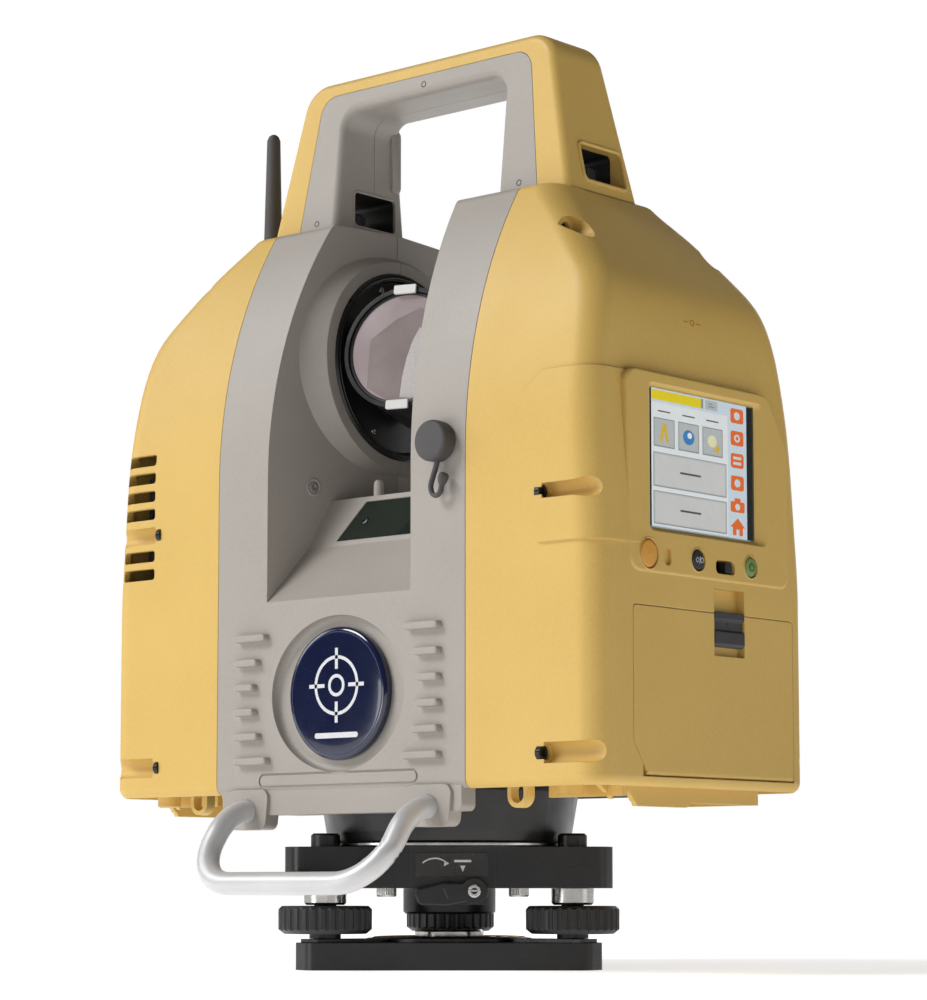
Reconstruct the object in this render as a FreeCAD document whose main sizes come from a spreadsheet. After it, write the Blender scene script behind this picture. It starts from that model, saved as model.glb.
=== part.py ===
import FreeCAD, Part, Sketcher
import functools
import math
import os
import re

from FreeCAD import Placement, Rotation, Vector

# Terrestrial laser scanner on its levelling base.
# Millimetres, +Z up. The origin is the tripod thread at the underside of the base plate.
# The front of the instrument faces -Y, and the screen tower stands at +X.
# The levelling base is turned by base_heading about Z from the instrument's front.

SIZES = {
    # levelling base (tribrach)
    "base_heading": 41,
    "plate_apothem": 44,
    "plate_corner": 75.5,
    "plate_height": 12,
    "thread_radius": 6.8,
    "insert_radius": 12,
    "insert_flange_radius": 15.75,
    "insert_top": 17.5,
    "spring_thickness": 1.6,
    "spring_radius": 37.5,
    "screw_circle": 63.5,
    "knob_radius": 20.8,
    "knob_bottom": 15.9,
    "knob_top": 28.2,
    "knob_flutes": 30,
    "stud_radius": 5,
    "sleeve_radius": 9.4,
    "sleeve_bottom": 28.6,
    "cap_radius": 6.5,
    "cap_height": 6,
    "tribrach_apothem": 46,
    "tribrach_corner": 81.8,
    "tribrach_bottom": 36,
    "tribrach_top": 54.3,
    "hub_radius": 21,
    "hub_bottom": 24.5,
    "lock_bore": 46,
    "lock_floor": 43,
    "lever_pivot_side": 11.3,
    "lever_pivot_height": 34.8,
    "lever_reach": 27,
    # fixed foot and upright axis of the instrument
    "dish_radius": 56,
    "dish_height": 1.6,
    "cone_foot_radius": 55,
    "cone_top_radius": 59,
    "cone_top": 82,
    "shaft_radius": 20,
    "shaft_top": 152,
    # body of the instrument
    "half_width": 147.5,
    "half_depth": 75,
    "body_bottom": 77.5,
    "body_top": 343.5,
    "corner_radius": 12,
    "bottom_round": 5,
    "top_round": 6,
    "wall": 3,
    "seam_half_gap": 0.15,
    "seam_side": 75,
    "side_draft_start": 170,
    "side_draft": 0.064,
    "shoulder_side": 133,
    "shoulder_height": 300,
    "shoulder_slope": 0.895,
    "shoulder_blend": 5,
    "front_curve_start": 220,
    "front_curve_radius": 225,
    # gap between the towers
    "gap_mouth": 43.6,
    "gap_throat": 33,
    "boss_face": 31,
    "boss_foot_radius": 58,
    "boss_top_radius": 50,
    "floor_front": 164,
    "floor_knee_depth": 52,
    "floor_knee": 190,
    "floor_top_depth": 38.8,
    "floor_top": 213.5,
    # scanning head
    "axis_height": 280,
    "ring_outer": 44.4,
    "ring_inner": 41,
    "ring_face": 30,
    "hub_disc_radius": 40.4,
    "drum_radius": 27,
    "mirror_side": 1,
    "mirror_reach": 33.5,
    "mirror_rise": 1,
    "mirror_turn": 17,
    "mirror_tilt": 9,
    "mirror_radius": 27,
    "bezel_radius": 29,
    "trunnion_radius": 8,
    # frame inside the body
    "frame_bottom": 92,
    "frame_thickness": 10,
    "frame_side": 94,
    "frame_depth": 50,
    "post_side": 46,
    "post_thickness": 12,
    "post_half_depth": 32,
    "post_top": 318,
    # front badge and ribs
    "badge_height": 121.3,
    "badge_radius": 29.5,
    "badge_recess_width": 40,
    "badge_recess_height": 34.5,
    "badge_recess_depth": 4,
    "badge_thickness": 7.6,
    "rib_pitch": 11.1,
    "rib_height": 3.5,
    "rib_middle": 120.4,
    "rib_outer": 61.8,
    "rib_proud": 3.6,
    # screen side
    "bezel_front": 55,
    "bezel_rear": 60,
    "bezel_bottom": 167,
    "bezel_top": 253,
    "screen_half": 37,
    "screen_bottom": 187,
    "screen_top": 246.5,
    "screen_plane": 144.6,
    "key_height": 175,
    # battery doors
    "door_front": 52.4,
    "door_rear": 62,
    "door_axis": 84,
    "door_top": 153,
    "door_gap": 0.3,
    "latch_front": 4,
    "latch_rear": 26,
    # covers
    "groove_inner": 118,
    "upper_groove": 200.5,
    "lower_groove": 91.6,
    "vent_height": 5.3,
    "screw_sink": 4,
    "shoulder_screw_depth": 46,
    # guard bar
    "bar_radius": 5,
    "bar_side": 54.6,
    "bar_reach": 109,
    "bar_high": 70.5,
    "bar_low": 38,
    "bar_knee": 87,
    "bar_upper_bend": 13,
    "bar_lower_bend": 15,
    # handle
    "handle_foot": 343.8,
    "handle_top": 419,
    "handle_foot_side": 92,
    "handle_top_side": 75.5,
    "handle_corner": 15,
    "handle_foot_depth": 25,
    "handle_top_depth": 17,
    "grip_side": 50,
    "grip_top": 402.5,
    "grip_corner": 9,
    "panel_foot_side": 74,
    "panel_top_side": 64.5,
    "panel_top": 412,
    "thumb_side": 71,
    "thumb_depth": 2.5,
    "thumb_radius": 11,
    # antenna
    "antenna_side": 120,
    "antenna_depth": 4,
    "antenna_pivot": 324,
    "antenna_length": 84,
}

DOC = FreeCAD.newDocument("scanner")
NODES = []


def make_sheet():
    sheet = DOC.addObject("Spreadsheet::Sheet", "Sizes")
    for row, (alias, number) in enumerate(SIZES.items(), start=1):
        sheet.set(f"A{row}", alias)
        sheet.set(f"B{row}", str(number))
        sheet.setAlias(f"B{row}", alias)
    DOC.recompute()
    return sheet


SHEET = make_sheet()


class SheetReader:
    """Reads a size from the sheet by its alias, as S.alias."""

    def __getattr__(self, alias):
        return float(SHEET.get(alias))


S = SheetReader()


# ---------------------------------------------------------------- helpers


def formula(text):
    """Turns a formula on plain aliases into one on the sheet's cells."""
    return re.sub(r"[a-z_]+", lambda m: "Sizes." + m[0] if m[0] in SIZES else m[0], str(text))


def number(text):
    return float(SHEET.evalExpression(formula(text)))


def publish(thing):
    """Marks an object as a sub-part of its own. Its Label names its file."""
    NODES.append(thing)
    return thing


def feature(label, shape, placement=None):
    """A sub-part whose shape is worked out with Part's own functions."""
    thing = DOC.addObject("Part::Feature", label)
    thing.Shape = shape
    if placement:
        thing.Placement = placement.multiply(thing.Placement)
    return publish(thing)


def attached_sketch(body, role, offset="0"):
    plane = [f for f in body.Origin.OriginFeatures if f.Role == role][0]
    sketch = body.newObject("Sketcher::SketchObject", body.Name + "_sketch")
    sketch.AttachmentSupport = [(plane, "")]
    sketch.MapMode = "FlatFace"
    sketch.setExpression(".AttachmentOffset.Base.z", formula(offset))
    return sketch


def pin_point(sketch, line, across, up):
    """Holds a line's first point at two formulas measured from the sketch origin."""
    for kind, axis, text in (("DistanceX", -2, across), ("DistanceY", -1, up)):
        if abs(number(text)) < 1e-9:
            sketch.addConstraint(Sketcher.Constraint("PointOnObject", line, 1, axis))
            continue
        place = Sketcher.Constraint(kind, -1, 1, line, 1, number(text))
        index = sketch.addConstraint(place)
        sketch.setExpression(f"Constraints[{index}]", formula(text))


def draw_polygon(sketch, outline):
    points = [Vector(number(a), number(b), 0) for a, b in outline]
    first = sketch.GeometryCount
    count = len(points)
    for i in range(count):
        sketch.addGeometry(Part.LineSegment(points[i], points[(i + 1) % count]), False)
    for i in range(count):
        follower = first + (i + 1) % count
        sketch.addConstraint(Sketcher.Constraint("Coincident", first + i, 2, follower, 1))
    for i, (across, up) in enumerate(outline):
        pin_point(sketch, first + i, across, up)


def draw_circle(sketch, radius, across="0", up="0"):
    centre = Vector(number(across), number(up), 0)
    index = sketch.addGeometry(Part.Circle(centre, Vector(0, 0, 1), number(radius)), False)
    for kind, axis, text in (("DistanceX", -2, across), ("DistanceY", -1, up)):
        if abs(number(text)) < 1e-9:
            sketch.addConstraint(Sketcher.Constraint("PointOnObject", index, 3, axis))
            continue
        place = sketch.addConstraint(Sketcher.Constraint(kind, -1, 1, index, 3, number(text)))
        sketch.setExpression(f"Constraints[{place}]", formula(text))
    held = sketch.addConstraint(Sketcher.Constraint("Radius", index, number(radius)))
    sketch.setExpression(f"Constraints[{held}]", formula(radius))


def turned(label, outline, placement=None, node=True):
    """A turned piece: the outline's (radius, height) pairs are spun about the body's Z axis."""
    body = DOC.addObject("PartDesign::Body", label)
    sketch = attached_sketch(body, "XZ_Plane")
    draw_polygon(sketch, outline)
    turn = body.newObject("PartDesign::Revolution", label + "_turn")
    turn.Profile = sketch
    turn.ReferenceAxis = (sketch, ["V_Axis"])
    turn.Angle = 360
    if placement:
        body.Placement = placement
    return publish(body) if node else body


def extruded(label, outline, start, height, holes=(), role="XY_Plane", rounding=None):
    """A plate: an outline of (x, y) formulas, with round holes (radius, x, y), padded along its normal."""
    body = DOC.addObject("PartDesign::Body", label)
    sketch = attached_sketch(body, role, start)
    draw_polygon(sketch, outline)
    for hole in holes:
        draw_circle(sketch, *hole)
    pad = body.newObject("PartDesign::Pad", label + "_pad")
    pad.Profile = sketch
    pad.setExpression("Length", formula(height))
    if rounding:
        round_corners(body, pad, rounding)
    return body


def round_corners(body, pad, radius):
    """Rounds the pad's straight edges that run along its normal."""
    DOC.recompute()
    normal = pad.Profile[0].Placement.Rotation.multVec(Vector(0, 0, 1))
    names = []
    for i, edge in enumerate(pad.Shape.Edges, start=1):
        if edge.Curve.TypeId == "Part::GeomLine" and abs(edge.Curve.Direction.dot(normal)) > 0.999:
            names.append(f"Edge{i}")
    fillet = body.newObject("PartDesign::Fillet", body.Name + "_round")
    fillet.Base = (pad, names)
    fillet.setExpression("Radius", formula(radius))


def primitive(kind, name, at, turn=None, **sizes):
    """A Part primitive with its sizes and place bound to the sheet."""
    thing = DOC.addObject("Part::" + kind, name)
    if turn:
        thing.Placement = Placement(Vector(), turn)
    for key, text in sizes.items():
        thing.setExpression(key, formula(text))
    for axis, text in zip("xyz", at):
        thing.setExpression(".Placement.Base." + axis, formula(text))
    return thing


def cut(name, base, *tools):
    thing = DOC.addObject("Part::Cut", name)
    thing.Base = base
    thing.Tool = tools[0] if len(tools) == 1 else fuse(name + "_tools", *tools)
    return thing


def fuse(name, *pieces):
    thing = DOC.addObject("Part::MultiFuse", name)
    thing.Shapes = list(pieces)
    return thing


def group(label, pieces):
    """Identical loose pieces kept together in one node."""
    thing = DOC.addObject("Part::Compound", label)
    thing.Links = list(pieces)
    return publish(thing)


ALONG_X = Rotation(Vector(0, 1, 0), 90)
ALONG_MINUS_X = Rotation(Vector(0, 1, 0), -90)
ALONG_MINUS_Y = Rotation(Vector(1, 0, 0), 90)
ALONG_Y = Rotation(Vector(1, 0, 0), -90)
BASE_TURN = Rotation(Vector(0, 0, 1), S.base_heading)


def box_between(low, high):
    return Part.makeBox(high[0] - low[0], high[1] - low[1], high[2] - low[2], Vector(*low))


def rod(radius, start, end):
    """A solid cylinder between two points."""
    start, end = Vector(*start), Vector(*end)
    return Part.makeCylinder(radius, (end - start).Length, start, end - start)


def prism(points, along):
    """An outline of 3-D points pushed along a vector."""
    corners = [Vector(*p) for p in points]
    return Part.Face(Part.makePolygon(corners + corners[:1])).extrude(Vector(*along))


def rounded_outline(points, radius):
    """A closed wire through flat points with every corner rounded."""
    corners = [Vector(*p) for p in points]
    edges = []
    count = len(corners)
    ends = []
    for i, corner in enumerate(corners):
        back = (corners[i - 1] - corner).normalize()
        ahead = (corners[(i + 1) % count] - corner).normalize()
        half = back.getAngle(ahead) / 2
        reach = radius / math.tan(half)
        middle = corner + (back + ahead).normalize() * (radius / math.sin(half) - radius)
        ends.append((corner + back * reach, middle, corner + ahead * reach))
    for i, (enter, middle, leave) in enumerate(ends):
        edges.append(Part.Arc(enter, middle, leave).toShape())
        following = ends[(i + 1) % count][0]
        if leave.distanceToPoint(following) > 1e-6:
            edges.append(Part.LineSegment(leave, following).toShape())
    return Part.Wire(edges)


def rounded_prism(points, radius, along):
    return Part.Face(rounded_outline(points, radius)).extrude(Vector(*along))


def mirrored(shape, normal=(1, 0, 0)):
    return shape.mirror(Vector(), Vector(*normal))


# ---------------------------------------------------------------- levelling base


def triangle_outline(apothem, corner):
    """A triangle with its corners cut square to their bisectors. One side faces -Y."""
    points = []
    for bisector in (-150, -30, 90):
        for side in (-1, 1):
            spread = f"(2 * {apothem} - {corner}) * tan(30)"
            across = f"{corner} * cos({bisector}) - {side} * {spread} * sin({bisector})"
            up = f"{corner} * sin({bisector}) + {side} * {spread} * cos({bisector})"
            points.append((across, up))
    return points


def screw_places():
    """Centres of the three foot screws in the levelling base's own frame."""
    return [(f"screw_circle * cos({a})", f"screw_circle * sin({a})") for a in (-150, -30, 90)]


def turned_point(across, back, height):
    """A point given in the levelling base's own frame, in the part's frame."""
    return BASE_TURN.multVec(Vector(across, back, height))


def make_base_plate():
    outline = triangle_outline("plate_apothem", "plate_corner")
    holes = [("insert_radius + 0.05",)]
    body = extruded("base_plate", outline, "0", "plate_height", holes, rounding="6")
    body.Placement = Placement(Vector(), BASE_TURN)
    publish(body)
    turned("thread_insert", [
        ("thread_radius", "0"), ("insert_radius", "0"), ("insert_radius", "plate_height"),
        ("insert_flange_radius", "plate_height"), ("insert_flange_radius", "insert_top - 1"),
        ("insert_flange_radius - 1", "insert_top"), ("thread_radius", "insert_top"),
    ])


def make_spring_plate():
    """A thin star: a disc with an arm out to each foot screw."""
    disc = primitive("Cylinder", "spring_disc", ("0", "0", "plate_height"),
                     Radius="spring_radius", Height="spring_thickness")
    arms = []
    for i, angle in enumerate((-150, -30, 90)):
        turn = Rotation(Vector(0, 0, 1), angle)
        across, up = f"8 * sin({angle})", f"-8 * cos({angle})"
        arms.append(primitive("Box", f"spring_arm_{i}", (across, up, "plate_height"), turn,
                              Length="screw_circle + 8", Width="16", Height="spring_thickness"))
    bore = primitive("Cylinder", "spring_bore", ("0", "0", "plate_height"),
                     Radius="insert_flange_radius + 0.2", Height="spring_thickness")
    plate = cut("spring_plate", fuse("spring_star", disc, *arms), bore)
    plate.Placement = Placement(Vector(), BASE_TURN)
    publish(plate)


def make_foot_screws():
    for i, (across, up) in enumerate(screw_places(), start=1):
        spot = Placement(turned_point(number(across), number(up), 0), BASE_TURN)
        stud = turned(f"stud_{i}", [
            ("0", "plate_height + spring_thickness + 0.2"),
            ("7", "plate_height + spring_thickness + 0.2"),
            ("7", "knob_bottom"), ("stud_radius", "knob_bottom"),
            ("stud_radius", "tribrach_top - 2"), ("0", "tribrach_top - 2"),
        ], node=False)
        knob = turned(f"knob_blank_{i}", [
            ("stud_radius", "knob_bottom"), ("knob_radius - 2.5", "knob_bottom"),
            ("knob_radius", "knob_bottom + 2"), ("knob_radius", "knob_top - 1.5"),
            ("knob_radius - 1.5", "knob_top"), ("stud_radius", "knob_top"),
        ], node=False)
        screw = group(f"foot_screw_{i}", [stud, knob_with_flutes(i, knob)])
        screw.Placement = spot


def knob_with_flutes(i, knob):
    flutes = []
    count = int(S.knob_flutes)
    for k in range(count):
        angle = 360 * k / count
        at = (f"(knob_radius + 0.5) * cos({angle})", f"(knob_radius + 0.5) * sin({angle})",
              "knob_bottom - 1")
        flutes.append(primitive("Cylinder", f"flute_{i}_{k}", at,
                                Radius="1.3", Height="knob_top - knob_bottom + 2"))
    return cut(f"knob_{i}", knob, *flutes)


def make_sleeves_and_caps():
    sleeves = []
    caps = []
    for i, (across, up) in enumerate(screw_places()):
        spot = Placement(turned_point(number(across), number(up), 0), BASE_TURN)
        sleeves.append(turned(f"sleeve_{i}", [
            ("stud_radius + 0.05", "sleeve_bottom"), ("sleeve_radius - 1", "sleeve_bottom"),
            ("sleeve_radius", "sleeve_bottom + 1"), ("sleeve_radius", "tribrach_bottom - 0.05"),
            ("7", "tribrach_bottom - 0.05"), ("7", "tribrach_top - 0.05"),
            ("stud_radius + 0.05", "tribrach_top - 0.05"),
        ], spot, node=False))
        caps.append(turned(f"cap_{i}", [
            ("0", "tribrach_top"), ("cap_radius", "tribrach_top"),
            ("cap_radius", "tribrach_top + cap_height - 1"),
            ("cap_radius - 1", "tribrach_top + cap_height"),
            ("2", "tribrach_top + cap_height"), ("2", "tribrach_top + cap_height - 1.5"),
            ("0", "tribrach_top + cap_height - 1.5"),
        ], spot, node=False))
    group("screw_sleeves", sleeves)
    group("screw_caps", caps)


def make_tribrach_body():
    """The upper triangle with its hub, the well for the locking ring and the lever's lug."""
    outline = triangle_outline("tribrach_apothem", "tribrach_corner")
    holes = [("7.05", across, up) for across, up in screw_places()] + [("15",)]
    height = "tribrach_top - tribrach_bottom"
    slab = extruded("tribrach_slab", outline, "tribrach_bottom", height, holes, rounding="7")
    hub = turned("tribrach_hub", [
        ("15", "hub_bottom"), ("hub_radius - 1", "hub_bottom"), ("hub_radius", "hub_bottom + 1"),
        ("hub_radius", "tribrach_bottom + 1"), ("15", "tribrach_bottom + 1"),
    ], node=False)
    lug = primitive("Box", "lever_lug",
                    ("lever_pivot_side - 6", "-tribrach_apothem", "lever_pivot_height - 6"),
                    Length="12", Width="9", Height="tribrach_bottom - lever_pivot_height + 7")
    pad = primitive("Box", "label_pad", ("-17", "-tribrach_apothem - 0.8", "tribrach_bottom"),
                    Length="37.5", Width="2", Height="tribrach_top - tribrach_bottom")
    well = primitive("Cylinder", "lock_well", ("0", "0", "lock_floor"), Radius="lock_bore", Height="20")
    bolt = primitive("Cylinder", "lever_bolt_bore",
                     ("lever_pivot_side", "-tribrach_apothem + 12", "lever_pivot_height"),
                     ALONG_MINUS_Y, Radius="2.1", Height="14")
    body = cut("tribrach_body", fuse("tribrach_blank", slab, hub, lug, pad), well, bolt)
    body.Placement = Placement(Vector(), BASE_TURN)
    publish(body)


def make_lock():
    """The lever turns about a bolt through the lug, and drives the ring that grips the instrument's foot."""
    near, far = -S.tribrach_apothem - 1.1, -S.tribrach_apothem - 6.5
    pivot = Vector(S.lever_pivot_side, 0, S.lever_pivot_height)
    reach = S.lever_reach
    outline = [(6, near, 3.4), (-reach * 0.5, near, 3.8), (-reach, near, 0.5),
               (-reach * 0.9, near, -6.2), (-reach * 0.45, near, -6.6), (6, near, -3.4)]
    arm = rounded_prism(outline, 2.2, (0, far - near, 0))
    edges = [e for e in arm.Edges if all(abs(v.Point.y - far) < 1e-6 for v in e.Vertexes)]
    arm = arm.makeFillet(0.9, edges)
    arm = arm.fuse(rod(5.6, (0, near, 0), (0, far - 0.2, 0)))
    bolt = rod(2, (0, near - 0.2, 0), (0, -S.tribrach_apothem + 10, 0))
    lever = arm.fuse(bolt)
    head = rod(2.9, (0, far + 0.5, 0), (0, far - 1.3, 0))
    lever = lever.fuse(head.cut(box_between((-3, far - 2, -0.4), (3, far - 0.8, 0.4))))
    lever.translate(pivot)
    feature("lock_lever", lever, Placement(Vector(), BASE_TURN))
    turned("locking_ring", [
        ("34", "lock_floor + 0.4"), ("lock_bore - 0.4", "lock_floor + 0.4"),
        ("lock_bore - 0.4", "lock_floor + 7"), ("36", "lock_floor + 7"), ("34", "lock_floor + 5"),
    ])


def make_eyepiece():
    """The plummet's eyepiece ring on the front of the levelling base."""
    spot = turned_point(-34, -S.tribrach_apothem - 0.05, 45)
    turned("plummet_eyepiece", [
        ("3.2", "0"), ("5.4", "0"), ("5.4", "4"), ("4.4", "5"), ("3.2", "5"), ("2.6", "3.6"), ("2.6",
            "2"), ("3.2", "2"),
    ], Placement(spot, BASE_TURN.multiply(ALONG_MINUS_Y)))


def make_round_level():
    """A round level on a ledge at the side of the levelling base, clear of the instrument's foot."""
    place = Placement(Vector(), BASE_TURN)
    angle = math.radians(150)
    out = S.tribrach_apothem + 20
    centre = (out * math.cos(angle), out * math.sin(angle))
    rim = S.tribrach_top - 3
    ring = rod(11, (*centre, rim - 9), (*centre, rim))
    arm = box_between((S.tribrach_apothem + 0.1, -9, rim - 9), (out, 9, rim - 4))
    arm.rotate(Vector(), Vector(0, 0, 1), 150)
    well = rod(7.5, (*centre, rim - 5), (*centre, rim + 1))
    feature("round_level", ring.fuse(arm).cut(well), place)


# ---------------------------------------------------------------- fixed foot of the instrument


def make_fixed_foot():
    """What stays still above the levelling base: dish ring, cone, upright shaft, disc and motor rotor."""
    turned("dish_ring", [
        ("48", "tribrach_top + 0.05"), ("dish_radius - 2", "tribrach_top + 0.05"),
        ("dish_radius", "tribrach_top + 0.6"), ("dish_radius", "tribrach_top + dish_height"),
        ("48", "tribrach_top + dish_height"),
    ])
    foot = "tribrach_top + dish_height + 0.1"
    turned("base_cone", [
        ("18", foot), ("cone_foot_radius - 1", foot), ("cone_foot_radius", foot + " + 1"),
        ("cone_foot_radius + 1", foot + " + 5"), ("cone_top_radius", "cone_top - 3"),
        ("cone_top_radius", "cone_top"), ("cone_top_radius - 4", "cone_top"),
        ("cone_foot_radius - 5", foot + " + 6"), ("18", foot + " + 6"),
    ])
    shaft = turned("shaft", [
        ("13", "62.2"), ("34", "62.2"), ("34", "68"), ("shaft_radius", "70"), ("shaft_radius", "shaft_top"),
        ("13", "shaft_top"),
    ], node=False)
    disc = turned("angle_disc", [
        ("shaft_radius + 0.02", "125"), ("35", "125"), ("35", "127"), ("shaft_radius + 0.02", "127"),
    ], node=False)
    group("azimuth_shaft", [shaft, disc])
    turned("azimuth_rotor", [
        ("shaft_radius + 0.02", "133"), ("27", "133"), ("27", "149"), ("shaft_radius + 0.02", "149"),
    ])


# ---------------------------------------------------------------- body shape


def soft_minimum(a, b, blend):
    """The smaller of two numbers, with the corner between them blended."""
    return -blend * math.log(math.exp(-a / blend) + math.exp(-b / blend))


def half_width_at(z):
    """Straight side, slight draft above the doors, then the sloping shoulder."""
    side = S.half_width - S.side_draft * max(0, z - S.side_draft_start)
    shoulder = S.shoulder_side - S.shoulder_slope * (z - S.shoulder_height)
    return soft_minimum(side, shoulder, S.shoulder_blend)


def half_depth_at(z):
    """Upright front face that curves back above front_curve_start."""
    rise = max(0, z - S.front_curve_start)
    radius = S.front_curve_radius
    return S.half_depth - (radius - math.sqrt(radius**2 - rise**2))


def section(z, inset):
    """The body's outline at one height: a rectangle with rounded corners."""
    across = half_width_at(z) - inset
    back = half_depth_at(z) - inset
    corners = [(across, -back, z), (across, back, z), (-across, back, z), (-across, -back, z)]
    return rounded_outline(corners, S.corner_radius - inset)


@functools.lru_cache
def envelope(inset):
    """The body as one solid, each wall moved in by inset. A positive inset is open below for the hollow."""
    start = S.body_bottom if inset <= 0 else S.body_bottom - 20
    top = S.body_top - inset
    waist = 150
    steps = 14
    heights = [waist + (top - waist) * i / steps for i in range(steps + 1)]
    upper = Part.makeLoft([section(z, inset) for z in heights], True, False)
    lower = Part.Face(section(start, inset)).extrude(Vector(0, 0, waist - start))
    whole = upper.fuse(lower)
    rim = [e for e in whole.Edges if e.BoundBox.ZMin > top - 0.01]
    whole = whole.makeFillet(S.top_round, rim)
    if inset <= 0:
        foot = [e for e in whole.Edges if e.BoundBox.ZMax < start + 0.01]
        whole = whole.makeFillet(S.bottom_round, foot)
    return whole


def floor_outline(rise, reach):
    """The scanning gap's floor seen from the side: two steep ramps and a level top."""
    front, knee, top = S.floor_front - rise, S.floor_knee - rise, S.floor_top - rise
    deep = S.half_depth + 10
    ramp = (S.floor_knee - S.floor_front) / (S.half_depth - S.floor_knee_depth)
    low = front - 10 * ramp
    half = [(-deep, low), (-S.floor_knee_depth, knee), (-S.floor_top_depth, top)]
    points = half + [(-y, z) for y, z in reversed(half)]
    return [(-reach, y, z) for y, z in points] + [(-reach, deep, 420), (-reach, -deep, 420)]


def gap_tool(grow):
    """What is taken out between the towers. Grow moves every wall into the towers by that much."""
    flare = (S.gap_mouth - S.gap_throat) / S.half_depth
    deep = S.half_depth + 10
    mouth = S.gap_throat + flare * deep + grow
    throat = S.gap_throat + grow
    plan = [(mouth, -deep, 100), (throat, 0, 100), (mouth, deep, 100),
            (-mouth, deep, 100), (-throat, 0, 100), (-mouth, -deep, 100)]
    tool = prism(plan, (0, 0, 320))
    tool = tool.common(prism(floor_outline(grow, 80), (160, 0, 0)))
    face = S.boss_face + grow
    for side in (-1, 1):
        boss = Part.makeCone(S.boss_foot_radius + 4, S.boss_top_radius, S.gap_mouth - S.boss_face + 3,
                             Vector(side * (face + S.gap_mouth - S.boss_face + 3), 0, S.axis_height),
                             Vector(-side, 0, 0))
        tool = tool.cut(boss)
    return tool


def body_shell():
    """The walls of the towers and the base, with the scanning gap lined by the same wall."""
    outer = envelope(0).cut(gap_tool(0))
    inner = envelope(S.wall).cut(gap_tool(S.wall))
    return outer.cut(inner)


# ---------------------------------------------------------------- grey panels


def slope_direction():
    """Unit vectors up the front ramp of the scanning gap's floor, and out of it."""
    run = S.floor_knee_depth - S.floor_top_depth
    rise = S.floor_top - S.floor_knee
    up = Vector(0, run, rise).normalize()
    return up, Vector(0, -up.z, up.y)


def window_face(low, high, grow, sink):
    """The floor window's outline on the ramp, wider at its foot, sunk under the ramp's face."""
    up, out = slope_direction()
    knee = Vector(0, -S.floor_knee_depth, S.floor_knee) - out * sink
    lower = knee + up * (3 - grow)
    upper = knee + up * (24 + grow)
    side = Vector(1, 0, 0)
    low, high = low + grow, high + grow
    corners = [lower - side * low, lower + side * low, upper + side * high, upper - side * high]
    return Part.Face(Part.makePolygon(corners + corners[:1]))


def rib_shapes():
    """Six ribs on each side of the badge. Their inner ends follow the badge's recess."""
    ribs = []
    half = S.rib_height / 2
    face = -S.half_depth
    for row in range(6):
        z = S.rib_middle + (row - 2.5) * S.rib_pitch
        away = (z - S.badge_height) / (S.badge_recess_height + 3)
        inner = (S.badge_recess_width + 9.5) * math.sqrt(max(0, 1 - away**2 * 0.55))
        corners = [(inner, z - half), (S.rib_outer, z - half), (S.rib_outer, z + half), (inner, z + half)]
        rib = rounded_prism([(x, face + 2, z) for x, z in corners], half * 0.98, (0, -S.rib_proud - 2, 0))
        crown = [e for e in rib.Edges if all(v.Point.y < face - S.rib_proud + 0.01 for v in e.Vertexes)]
        rib = rib.makeFillet(1.1, crown)
        ribs += [rib, mirrored(rib)]
    return ribs


def badge_recess():
    """An elliptical dish around the badge."""
    centre = Vector(0, -S.half_depth - 1, S.badge_height)
    ellipse = Part.Ellipse(centre, S.badge_recess_width, S.badge_recess_height)
    ellipse.Axis = Vector(0, -1, 0)
    ellipse.XAxis = Vector(1, 0, 0)
    depth = S.badge_recess_depth + 1
    tool = Part.Face(Part.Wire(ellipse.toShape())).extrude(Vector(0, depth, 0))
    floor = [e for e in tool.Edges if abs(e.BoundBox.YMin + S.half_depth - S.badge_recess_depth) < 1e-3
             and abs(e.BoundBox.YMax - e.BoundBox.YMin) < 1e-3]
    return tool.makeFillet(2.5, floor)


def bar_lugs():
    """Lips under the panel's lower edge with a tab for each end of the guard bar."""
    face = S.half_depth
    lip = rounded_prism([(-72, -face + 1, 68.5), (72, -face + 1, 68.5), (72, -face + 1, 82.3),
                         (-72, -face + 1, 82.3)],
                        3, (0, 9, 0))
    for side in (-1, 1):
        x = side * S.bar_side
        tab = rounded_prism([(x - 11, -face - 0.5, 62), (x + 11, -face - 0.5, 62),
                             (x + 13, -face - 0.5, 80), (x - 13, -face - 0.5, 80)], 4, (0, 8, 0))
        lip = lip.fuse(tab)
        lip = lip.cut(rod(S.bar_radius + 0.05, (x, -face - 2, S.bar_high), (x, -face + 12, S.bar_high)))
    return lip


def stadium_groove():
    """A shallow outline cut below the badge."""
    half = 3.2
    z = 80.6 + half
    face = -S.half_depth
    corners = [(-48, z - half), (48, z - half), (48, z + half), (-48, z + half)]
    outer = rounded_prism([(x, face - 1, z) for x, z in corners], half * 0.99, (0, 1.7, 0))
    thin = 0.9
    corners = [(-48 + thin, z - half + thin), (48 - thin, z - half + thin),
               (48 - thin, z + half - thin), (-48 + thin, z + half - thin)]
    core = rounded_prism([(x, face - 1, z) for x, z in corners], (half - thin) * 0.99, (0, 1.7, 0))
    return outer.cut(core)


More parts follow.
